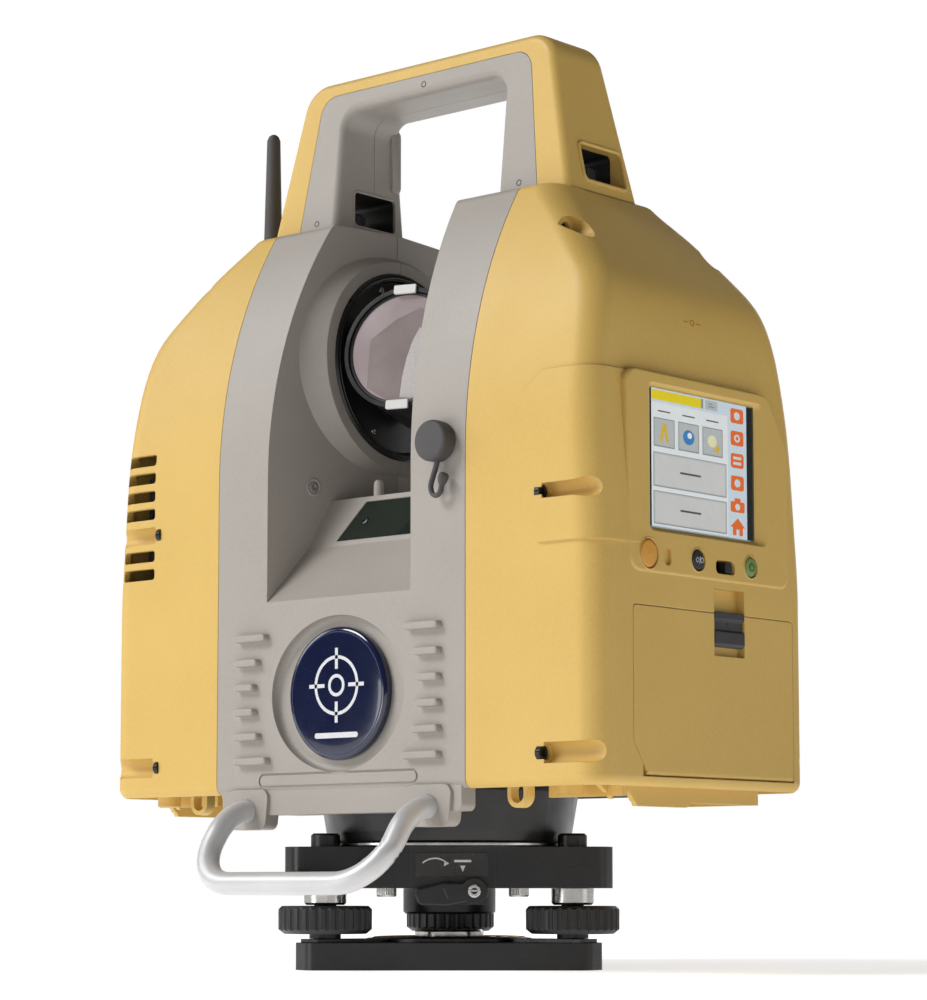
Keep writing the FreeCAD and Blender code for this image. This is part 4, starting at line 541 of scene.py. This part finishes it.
def base_details():
    """Label, marks and small screws of the levelling base, and the tips of its foot screws."""
    give("cover_screws", dark_steel)
    give("spring_plate", dark_steel)
    out = BASE_TURN.to_3x3() @ Vector((0, -1, 0))
    at, _ = touch("tribrach_body", base_point(1.4, -100, 46.3), -out)
    place = facing(at, out)
    bm = slab(bmesh.new(), place, rounded(32 * MM, 10.6 * MM, 1.6 * MM), -0.3 * MM, 0.45 * MM, 0.2 * MM)
    piece("lever_label", bm, label_plate, "tribrach", 25)
    ink = (0.4 * MM, 0.5 * MM)
    bm = bmesh.new()
    for shape in stroke(arc(8 * MM, 48, 132, (-7.5 * MM, -5.2 * MM), 18), 0.55 * MM):
        slab(bm, place, shape, *ink)
    slab(bm, place, in_mm([(-1.2, 0.5), (-3.2, 1.9), (-3.5, -0.6)]), *ink)
    slab(bm, place, in_mm([(3.6, -0.4), (4.8, -3.2), (6, -0.4)]), *ink)
    slab(bm, place, rounded(7.5 * MM, 1.0 * MM, 0.3 * MM, (4.8 * MM, 1.6 * MM)), *ink)
    piece("lever_label_marks", bm, ink_white, "tribrach")

    at, _ = touch("lock_lever", base_point(11.3, -100, 34.8), -out)
    bm = screw(bmesh.new(), facing(at, out), 2.9 * MM, 1.5 * MM)
    piece("lever_screw", bm, materials["machined_steel"], "lock_lever")
    at, _ = touch("lock_lever", base_point(-1, -100, 33.8), -out)
    bm = bmesh.new()
    for shape in stroke(in_mm([(-1.2, 2.2), (0.8, -2.2)]), 0.6 * MM):
        slab(bm, facing(at, out), shape, -0.2 * MM, 0.12 * MM)
    piece("lever_mark", bm, materials["dark_grey_plastic"], "lock_lever")

    for k, x in enumerate((-27.6, 31)):
        under, _ = touch("tribrach_body", base_point(x, -37, 0), UP)
        place = Matrix.Translation(under) @ Matrix.Rotation(math.pi, 4, "X")
        bm = knurled_head(place)
        lathe(bm, place, in_mm([(1.9, 3.7), (1.7, 1.8), (0, 1.8)]), 6)
        piece(f"adjusting_screw_{k + 1}", bm, materials["machined_steel"], "tribrach", 20)

    for k in (1, 2, 3):
        low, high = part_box(f"foot_screw_{k}")
        middle = (low + high) / 2
        place = Matrix.Translation((middle.x, middle.y, low.z))
        bm = lathe(bmesh.new(), place, in_mm([(5.3, -0.1), (5.6, 0.3), (5.6, 1.6), (5.2, 2.0)]), 40)
        piece(f"foot_tip_{k}", bm, brass, f"foot_screw_{k}")
    profile = in_mm([(18, 13.5), (18, 14.3), (34, 14.3), (35, 13.9), (35.2, 13.5)])
    bm = lathe(bmesh.new(), Matrix.Identity(4), profile, 72)
    piece("spring_ring", bm, materials["black_metal"], "tribrach")
    bm = bmesh.new()
    for radius in (21, 27, 32):
        line = [(radius - 0.35, 14.25), (radius - 0.2, 14.42), (radius + 0.2, 14.42), (radius + 0.35, 14.25)]
        lathe(bm, Matrix.Identity(4), in_mm(line), 72)
    piece("spring_ring_lines", bm, brass, "tribrach")


# ---------------------------------------------------------------- scan head


def head_details():
    """Screws on the head's two hubs, and a thin bright edge on each bearing ring."""
    screw_circle, ring_face = 37.4 * MM, 29.95 * MM
    ring_radius, bead_radius = 42.3, 0.45
    bm = bmesh.new()
    for side in (-1, 1):
        for angle in (21, 150, 210, 339):
            a = math.radians(angle)
            start = (side * 5 * MM, -screw_circle * math.sin(a), MIRROR_AXIS + screw_circle * math.cos(a))
            at, _ = touch("scan_drum", start, (side, 0, 0))
            screw(bm, facing(at, (-side, 0, 0)), 1.5 * MM, 0.7 * MM)
    piece("hub_screws", bm, materials["machined_steel"], "scan_head")
    bm = bmesh.new()
    for side in (-1, 1):
        sideways = Matrix.Rotation(-side * math.pi / 2, 4, "Y")
        place = Matrix.Translation((side * ring_face, 0, MIRROR_AXIS)) @ sideways
        angles = [2 * math.pi * k / 10 for k in range(11)]
        bead = [(ring_radius + bead_radius * math.cos(a), bead_radius * math.sin(a)) for a in angles]
        lathe(bm, place, in_mm(bead), 96)
    piece("ring_edges", bm, dark_steel, "alidade")


# ---------------------------------------------------------------- screen


def screen_details():
    """A generic menu on the lit display: tiles, buttons and round signs, with bars in place of words."""
    low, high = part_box("display_panel")
    middle = (low + high) / 2
    place = facing((high.x, middle.y, middle.z), (1, 0, 0))
    wide, tall = (high.y - low.y) / 2, (high.z - low.z) / 2
    colours = {
        "pale": (0.66, 0.76, 0.84), "panel": (0.84, 0.87, 0.88), "tile": (0.52, 0.55, 0.55),
        "button": (0.66, 0.66, 0.64), "edge": (0.3, 0.31, 0.31), "label": (0.1, 0.1, 0.1),
        "header": (0.86, 0.68, 0.02), "orange": (0.85, 0.17, 0.03), "white": (0.9, 0.92, 0.92),
        "blue": (0.05, 0.25, 0.55), "gold": (0.75, 0.5, 0.05), "black": (0.012, 0.014, 0.016),
        "cream": (0.85, 0.8, 0.5)}
    looks = {key: lit_pixels("pixels_" + key, colour) for key, colour in colours.items()}
    shapes = {key: bmesh.new() for key in colours}

    def put(key, outline, level):
        """Adds a flat shape to the picture. Coordinates run from -1 to 1 over the display."""
        slab(shapes[key], place, [(x * wide, y * tall) for x, y in outline], 0.01 * MM,
             (0.02 + 0.012 * level) * MM)

    def block(key, x0, y0, x1, y1, level, radius=0.0):
        if radius:
            put(key, rounded(x1 - x0, y1 - y0, radius, ((x0 + x1) / 2, (y0 + y1) / 2), 3), level)
        else:
            put(key, [(x0, y0), (x1, y0), (x1, y1), (x0, y1)], level)

    block("pale", -1, -1, 1, 1, 0)
    block("header", -0.98, 0.84, -0.02, 0.98, 1)
    block("edge", -0.02, 0.84, 0.02, 0.98, 1)
    block("tile", 0.06, 0.84, 0.3, 0.98, 1)
    block("edge", 0.12, 0.88, 0.24, 0.9, 2)
    block("edge", 0.12, 0.92, 0.2, 0.94, 2)
    block("black", 0.88, -1, 1, 1, 2)
    block("panel", -0.98, -0.98, 0.5, 0.8, 1)
    for k, key in enumerate(("gold", "blue", "cream")):
        x = -0.94 + 0.47 * k
        block("label", x + 0.08, 0.67, x + 0.32, 0.69, 2)
        block("edge", x, 0.16, x + 0.4, 0.58, 2)
        block("tile", x + 0.015, 0.18, x + 0.385, 0.565, 3)
        cx, cy = x + 0.2, 0.37
        if k == 0:
            peak = [(-0.09, -0.13), (-0.04, -0.13), (0, 0.02), (0.04, -0.13), (0.09, -0.13), (0.03, 0.14),
                    (-0.03, 0.14)]
            put(key, [(cx + a, cy + b) for a, b in peak], 4)
        elif k == 1:
            put(key, disc(0.11, (cx, cy), 20), 4)
            put("white", disc(0.045, (cx + 0.02, cy + 0.03), 12), 5)
        else:
            put(key, disc(0.09, (cx - 0.01, cy + 0.01), 16), 4)
            put("gold", [(cx + 0.0, cy - 0.14), (cx + 0.13, cy - 0.14), (cx + 0.13, cy - 0.02)], 5)
    for y0, y1 in ((-0.42, 0.08), (-0.96, -0.48)):
        block("edge", -0.95, y0, 0.47, y1, 2)
        block("tile", -0.94, y0 + 0.015, 0.46, y1 - 0.01, 3)
        block("button", -0.92, y0 + 0.03, 0.44, y1 - 0.03, 4)
        middle_y = (y0 + y1) / 2
        block("label", -0.44, middle_y - 0.015, -0.04, middle_y + 0.015, 5)
    for k in range(6):
        y = 0.84 - 0.335 * k
        cx = 0.69
        if k in (0, 1, 3):
            block("orange", cx - 0.13, y - 0.12, cx + 0.13, y + 0.1, 3, 0.04)
            put("pale", disc(0.06, (cx, y - 0.01), 14), 4)
            if k == 1:
                put("orange", disc(0.03, (cx, y - 0.01), 12), 5)
        elif k == 2:
            block("orange", cx - 0.13, y - 0.12, cx + 0.13, y + 0.1, 3, 0.04)
            block("pale", cx - 0.08, y - 0.07, cx + 0.08, y - 0.03, 4)
            block("pale", cx - 0.08, y + 0.01, cx + 0.08, y + 0.05, 4)
        elif k == 4:
            block("orange", cx - 0.14, y - 0.11, cx + 0.14, y + 0.05, 3, 0.03)
            block("orange", cx - 0.06, y + 0.05, cx + 0.06, y + 0.1, 3)
            put("pale", disc(0.05, (cx, y - 0.03), 14), 4)
        else:
            house = [(-0.15, 0), (-0.1, 0), (-0.1, -0.12), (0.1, -0.12), (0.1, 0), (0.15, 0), (0, 0.14)]
            put("orange", [(cx + a, y + b) for a, b in house], 3)
            block("pale", cx - 0.03, y - 0.12, cx + 0.03, y - 0.03, 4)
    for key, bm in shapes.items():
        piece("screen_" + key, bm, looks[key], "alidade")


# ---------------------------------------------------------------- marks and small fittings


def badge_mark():
    """The round badge: a low domed disc with a bright rim, and a plain reticle in place of a maker's sign."""
    low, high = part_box("badge")
    radius, thick = (high.x - low.x) / 2, 4.2 * MM
    place = facing((0, high.y, (low.z + high.z) / 2), (0, -1, 0))
    profile = [(radius - 0.2 * MM, 0), (radius, 0.4 * MM), (radius, thick - 1.6 * MM),
               (radius - 0.5 * MM, thick - 0.7 * MM), (radius - 1.6 * MM, thick - 0.25 * MM),
               (radius - 3 * MM, thick - 0.1 * MM), (radius * 0.6, thick), (0, thick)]
    disc_piece = piece("badge_disc", lathe(bmesh.new(), place, profile, 96), materials["badge_blue"],
                       "alidade", 45)
    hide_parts("badge")
    bm = bmesh.new()
    middle = (0, 3.5 * MM)
    level = thick + 0.01 * MM
    paint = (level - 0.2 * MM, level + 0.05 * MM)
    for size in (12.5, 4.2):
        for shape in stroke(arc(size * MM, 0, 352.5, middle, 47), 1.5 * MM, True):
            slab(bm, place, shape, *paint)
    for turn in range(4):
        a = math.radians(90 * turn)
        ends = [(middle[0] + r * MM * math.cos(a), middle[1] + r * MM * math.sin(a)) for r in (7.2, 16.5)]
        for shape in stroke(ends, 1.7 * MM):
            slab(bm, place, shape, *paint)
    slab(bm, place, rounded(26 * MM, 2.4 * MM, 1.1 * MM, (0, -18.5 * MM)), *paint)
    piece("badge_mark", bm, print_ink("badge_white", (0.72, 0.73, 0.76), 0.3), "alidade")
    bm = lathe(bmesh.new(), place, [(radius - 2.7 * MM, level - 0.3 * MM), (radius - 2.6 * MM, level),
                                    (radius - 2.2 * MM, level), (radius - 2.1 * MM, level - 0.3 * MM)], 96)
    piece("badge_line", bm, print_ink("badge_pale_blue", (0.03, 0.045, 0.12), 0.3), "alidade")


def axis_marks():
    """The mark of the mirror's axis on each side cover: a ring between two dashes."""
    for side, node, name in ((1, "right_cover", "right"), (-1, "left_cover", "left")):
        at, normal = touch(node, (side * 0.3, 0, 0.2795), (-side, 0, 0))
        place = facing(at, normal)
        bm = bmesh.new()
        for x in (-1, 1):
            slab(bm, place, rounded(3.6 * MM, 0.45 * MM, 0.2 * MM, (x * 4.4 * MM, 0)), -0.3 * MM, 0.08 * MM)
        for shape in stroke(arc(1.25 * MM, 0, 345, (0, 0), 23), 0.5 * MM, True):
            slab(bm, place, shape, -0.3 * MM, 0.08 * MM)
        piece(f"axis_mark_{name}", bm, ink_orange, "alidade")


def key_marks():
    """Generic signs on two keys, and a raised collar in the cover round each of the three."""
    ink = (-0.1 * MM, 0.04 * MM)
    low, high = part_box("function_key")
    place = facing((high.x, (low.y + high.y) / 2, (low.z + high.z) / 2), (1, 0, 0))
    bm = bmesh.new()
    for shape in stroke(in_mm([(-2.4, 0), (-1.3, 1.1), (-0.2, 0), (-1.3, -1.1)]), 0.35 * MM, True):
        slab(bm, place, shape, *ink)
    for shape in stroke(arc(1.0 * MM, 0, 340, (1.9 * MM, 0), 17), 0.35 * MM, True):
        slab(bm, place, shape, *ink)
    for shape in stroke(in_mm([(0.2, -1.6), (0.7, 1.6)]), 0.3 * MM):
        slab(bm, place, shape, *ink)
    piece("function_key_marks", bm, ink_white, "function_key")
    low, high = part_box("power_key")
    place = facing((high.x, (low.y + high.y) / 2, (low.z + high.z) / 2), (1, 0, 0))
    bm = bmesh.new()
    for shape in stroke(arc(1.7 * MM, 120, 420, (0, 0), 20), 0.4 * MM):
        slab(bm, place, shape, *ink)
    for shape in stroke(in_mm([(0, 0.3), (0, 2.2)]), 0.4 * MM):
        slab(bm, place, shape, *ink)
    piece("power_key_marks", bm, print_ink("ink_green", (0.03, 0.09, 0.02)), "power_key")
    for name, radius in (("side_key", 6.5), ("function_key", 5.0), ("power_key", 4.9)):
        low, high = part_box(name)
        centre = (low + high) / 2
        at, _ = touch("right_cover", (0.3, centre.y + (radius + 0.6) * MM, centre.z), (-1, 0, 0))
        place = facing((at.x, centre.y, centre.z), (1, 0, 0))
        profile = [(radius - 0.15, -1), (radius - 0.1, 0.2), (radius + 0.15, 0.35), (radius + 0.5, 0.15),
                   (radius + 0.7, -0.3)]
        bm = lathe(bmesh.new(), place, in_mm(profile), 48)
        piece(name + "_collar", bm, materials["yellow_shell"], "alidade")


def latch_marks():
    """An arrow on each battery latch."""
    for side in (1, -1):
        name = "right" if side > 0 else "left"
        low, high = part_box("latch_" + name)
        middle = (low + high) / 2
        at, normal = touch("latch_" + name, (side * 0.3, middle.y, high.z - 4 * MM), (-side, 0, 0))
        place = facing(at, normal)
        bm = bmesh.new()
        for shape in stroke(in_mm([(0.5, 1.9), (0, -0.6)]), 0.6 * MM):
            slab(bm, place, shape, -0.1 * MM, 0.06 * MM)
        slab(bm, place, in_mm([(-1.5, -0.3), (0, -2.1), (1.5, -0.3)]), -0.1 * MM, 0.06 * MM)
        piece(f"latch_mark_{name}", bm, ink_dark, "latch_" + name)


def panel_screws():
    """Small screws on the handle's grey frame, on the gap's inner walls and under the body."""
    bm = bmesh.new()
    for face in (-1, 1):
        for x, z in ((0, 407.3), (62.6, 349.5), (-62.6, 349.5)):
            at, normal = touch("handle_panels", (x * MM, face * 0.2, z * MM), (0, -face, 0))
            place = facing(at, normal)
            lathe(bm, place, in_mm([(1.5, -0.2), (1.45, 0.08), (1.1, 0.08), (1.0, -0.1), (0, -0.12)]), 20)
    piece("handle_screws", bm, dark_steel, "alidade")
    bm = bmesh.new()
    for side in (-1, 1):
        at, normal = touch("front_panel", (0, -49 * MM, 219 * MM), (side, 0, 0))
        place = facing(at, normal)
        lathe(bm, place, in_mm([(4.3, -0.3), (4.2, 0.3), (3.6, 0.45), (3.1, 0.3), (2.9, -0.05),
                                (0, -0.05)]), 40)
    piece("wall_washers", bm, materials["grey_shell"], "alidade")
    bm = bmesh.new()
    for side in (-1, 1):
        at, normal = touch("front_panel", (0, -49 * MM, 219 * MM), (side, 0, 0))
        screw(bm, facing(at, normal), 2.5 * MM, 0.35 * MM)
    piece("wall_screws", bm, materials["cast_alloy"], "alidade")
    at, normal = touch("floor_window", (-11.5 * MM, -0.2, 201.5 * MM), (0, 1, 0))
    bm = screw(bmesh.new(), facing(at, normal), 2.2 * MM, 0.5 * MM)
    piece("window_screw", bm, dark_steel, "alidade")
    bm = lathe(bmesh.new(), Matrix.Translation((-10.5 * MM, -37 * MM, 0)),
               in_mm([(2.3, 209), (2.2, 218.5), (1.9, 220), (1.1, 220.8), (0, 221)]), 28)
    piece("window_post", bm, materials["grey_shell"], "alidade", 60)


def mirror_pane():
    """The coated window of the scanning head, with two painted reflections laid on it: a darker patch and a
    paler sliver.
    """
    at, out = touch("mirror_glass", (1 * MM, -0.3, 281 * MM), (0, 1, 0))
    low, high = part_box("mirror_glass")
    centre = (low + high) / 2
    centre += out * (at - centre).dot(out)
    place = facing(centre, out)
    coated = Surface("coated_window", Coat_Weight=0.6, Coat_Roughness=0.04, Specular_IOR_Level=0.6)
    cloud = coated.mix(coated.between(coated.noise(22 * MM, 2), 0, 1, 0.35, 0.65), (0.4, 0.33, 0.34),
                       (0.49, 0.42, 0.435))
    coated.relief(coated.noise(30 * MM, 1), 0.02 * MM, 0.1)
    coated_look = coated.finish(cloud, coated.between(coated.noise(12 * MM, 3), 0.12, 0.2))
    # A darker look of the coating, used for a painted dark reflection on the pane.
    dim = Surface("painted_reflection_dark_coat", Coat_Weight=0.6, Coat_Roughness=0.04, Specular_IOR_Level=0.6)
    tone = dim.mix(dim.between(dim.noise(15 * MM, 2), 0, 1), (0.27, 0.225, 0.22), (0.34, 0.285, 0.28))
    dark_reflection_look = dim.finish(tone, dim.between(dim.noise(12 * MM, 3), 0.1, 0.18))
    bm = lathe(bmesh.new(), place, in_mm([(26.9, -2.1), (26.9, -0.5), (26.2, 0), (13, 0), (0, 0)]), 96)
    made = piece("window_pane", bm, coated_look, "scan_head", 25)
    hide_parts("mirror_glass")
    # Pale ink and two outlines, in millimetres on the pane, for the painted reflections: a darker patch over
    # most of it and a paler sliver.
    bright = print_ink("painted_reflection_pale_ink", (0.62, 0.58, 0.58), 0.2, Coat_Weight=0.6)
    dark_reflection_outline = [(-17, -18), (-17, 5), (-4.5, 14), (8, 19), (17, 10), (17.5, -8), (10, -22), (-6, -24.5)]
    pale_reflection_outline = [(7.8, 9.4), (4.6, 3), (2.2, -5), (0.6, -14), (0, -23.5), (6, -24.3), (9.6, -22.4),
                    (12, -14), (13, -5), (13.4, 3), (12.4, 6)]
    for name, look, level, outline in (("window_painted_reflection_dark", dark_reflection_look, 0.03, dark_reflection_outline),
                                       ("window_painted_reflection_pale", bright, 0.05, pale_reflection_outline)):
        bm = slab(bmesh.new(), place, in_mm(outline), -0.2 * MM, level * MM)
        piece(name, bm, look, "scan_head")
    bm = lathe(bmesh.new(), place, in_mm([(25.4, 0.0), (25.4, 0.25), (25.8, 0.4), (26.7, 0.4),
                                          (26.95, 0.1)]), 96)
    piece("window_seal", bm, materials["black_plastic"], "scan_head")


def rubber_cap():
    """The socket's cap: a thick disc on a plug, and a soft strap that hangs down and turns back up."""
    low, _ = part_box("port_cap")
    front, centre = low.y, Vector((61 * MM, 0, 226.7 * MM))
    place = facing((centre.x, front + 7.4 * MM, centre.z), (0, -1, 0))
    profile = [(4.5, -7.5), (4.5, 0), (8.3, 0), (8.8, 0.4), (8.8, 2.2), (8.5, 2.6), (9.0, 3.0), (9.0, 5.8),
               (8.7, 6.8), (7.9, 7.35), (7, 7.4), (0, 7.4)]
    bm = lathe(bmesh.new(), place, in_mm(profile), 56)
    cap = piece("cap_disc", bm, materials["rubber"], "port_cap", 50)
    y = front + 3.8 * MM
    drawn = [(1.6, -8.2), (1.2, -10.5), (-0.6, -15.2), (-1.9, -19.4), (-0.9, -22.6), (1.5, -23.7),
             (3.6, -22.1), (4.5, -18.6), (5.4, -15.6), (6.0, -14.2)]
    path = smooth_path([(centre.x + a * MM, y + 0.02 * b * MM, centre.z + b * MM) for a, b in drawn])

    def thick(t):
        """A band that swells into a ball at its end."""
        ball = math.sqrt(max(0.0, 1 - ((t - 0.87) / 0.135) ** 2)) * 2.5
        return max(ball, 1.3 if t < 0.87 else 0.1) * MM

    strap = piece("cap_strap", tube(bmesh.new(), path, thick, sides=16, flat=0.85), materials["rubber"],
                  "port_cap", 60)
    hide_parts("port_cap")
    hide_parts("port_cap")


def handle_windows():
    """Black walls inside each of the windows over the handle's thumbscrews, which paint the shade in there,
    and a soft rim round each.
    """
    handle_foot = 343.8
    y0, y1, z0, z1 = -11.9, 16.9, handle_foot + 5.6, handle_foot + 21.9
    centre = ((y0 + y1) / 2, (z0 + z1) / 2)
    for side, name in ((-1, "left"), (1, "right")):
        # Black plastic walls through the window: a dark sheet that paints the shade inside it.
        bm = bmesh.new()
        loop = rounded(y1 - y0, z1 - z0, 2.2, centre)
        outer = [bm.verts.new((side * 82 * MM, y * MM, z * MM)) for y, z in loop]
        inner = [bm.verts.new((side * 51.5 * MM, y * MM, z * MM)) for y, z in loop]
        shrink = [(centre[0] + (y - centre[0]) * 0.97, centre[1] + (z - centre[1]) * 0.95) for y, z in loop]
        inset = [bm.verts.new((side * 67 * MM, y * MM, z * MM)) for y, z in shrink]
        for first, second in ((outer, inset), (inset, inner)):
            for k in range(len(loop)):
                bm.faces.new((first[k], first[(k + 1) % len(loop)], second[(k + 1) % len(loop)], second[k]))
        piece(f"window_painted_shade_{name}", bm, materials["black_plastic"], "alidade", 40)
        bm = bmesh.new()
        x = side * 50.1 * MM
        rim = [Vector((x, y * MM, z * MM)) for y, z in rounded(y1 - y0 + 0.6, z1 - z0 + 0.6, 2.6, centre)]
        tube(bm, rim, 0.7 * MM, True, 8, across=(1, 0, 0))
        piece(f"window_rim_{name}", bm, materials["grey_shell"], "alidade", 60)
        rim = []
        for y, z in rounded(y1 - y0 + 1.8, z1 - z0 + 1.8, 3.0, centre, 8):
            rim.append(touch("handle_shell", (side * 0.2, y * MM, z * MM), (-side, 0, 0))[0])
        bm = tube(bmesh.new(), rim, 1.0 * MM, True, 10, across=(1, 0, 0))
        piece(f"window_brow_{name}", bm, materials["yellow_shell"], "alidade", 60)
        place = facing((side * 50 * MM, 16.6 * MM, 385 * MM), (-side, 0, 0))
        bm = slab(bmesh.new(), place, rounded(6 * MM, 31 * MM, 2 * MM), -0.5 * MM, 1.4 * MM, 0.7 * MM)
        piece(f"grip_pad_{name}", bm, materials["grey_shell"], "alidade", 50)


def guard_bar():
    """The bent tube in front of the foot, with wide bends."""
    low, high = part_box("guard_bar")
    thick = 5 * MM
    side, reach, under, over = high.x - thick, low.y + thick, low.z + thick, high.z - thick
    knee = reach + 22 * MM
    corners = [Vector((side, high.y, over)), Vector((side, knee, over)), Vector((side, reach, under)),
               Vector((-side, reach, under)), Vector((-side, knee, over)), Vector((-side, high.y, over))]
    path = [corners[0]]
    bends, steps = (25, 23, 23, 25), 14
    for before, corner, after, radius in zip(corners, corners[1:], corners[2:], bends):
        back, ahead = (before - corner).normalized(), (after - corner).normalized()
        half = back.angle(ahead) / 2
        middle = corner + (back + ahead).normalized() * radius * MM / math.sin(half)
        start = corner + back * radius * MM / math.tan(half)
        end = corner + ahead * radius * MM / math.tan(half)
        for step in range(steps + 1):
            spoke = (start - middle).lerp(end - middle, step / steps)
            path.append(middle + spoke.normalized() * radius * MM)
    path.append(corners[-1])
    bm = tube(bmesh.new(), path, thick, sides=32, across=(0.3, 0.5, 1))
    made = piece("front_guard_bar", bm, materials["silver_bar"], "alidade", 60)
    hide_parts("guard_bar")


base_details()
guard_bar()
head_details()
screen_details()
badge_mark()
axis_marks()
key_marks()
latch_marks()
panel_screws()
mirror_pane()
rubber_cap()
handle_windows()
make_stage()
make_lights()
make_camera()
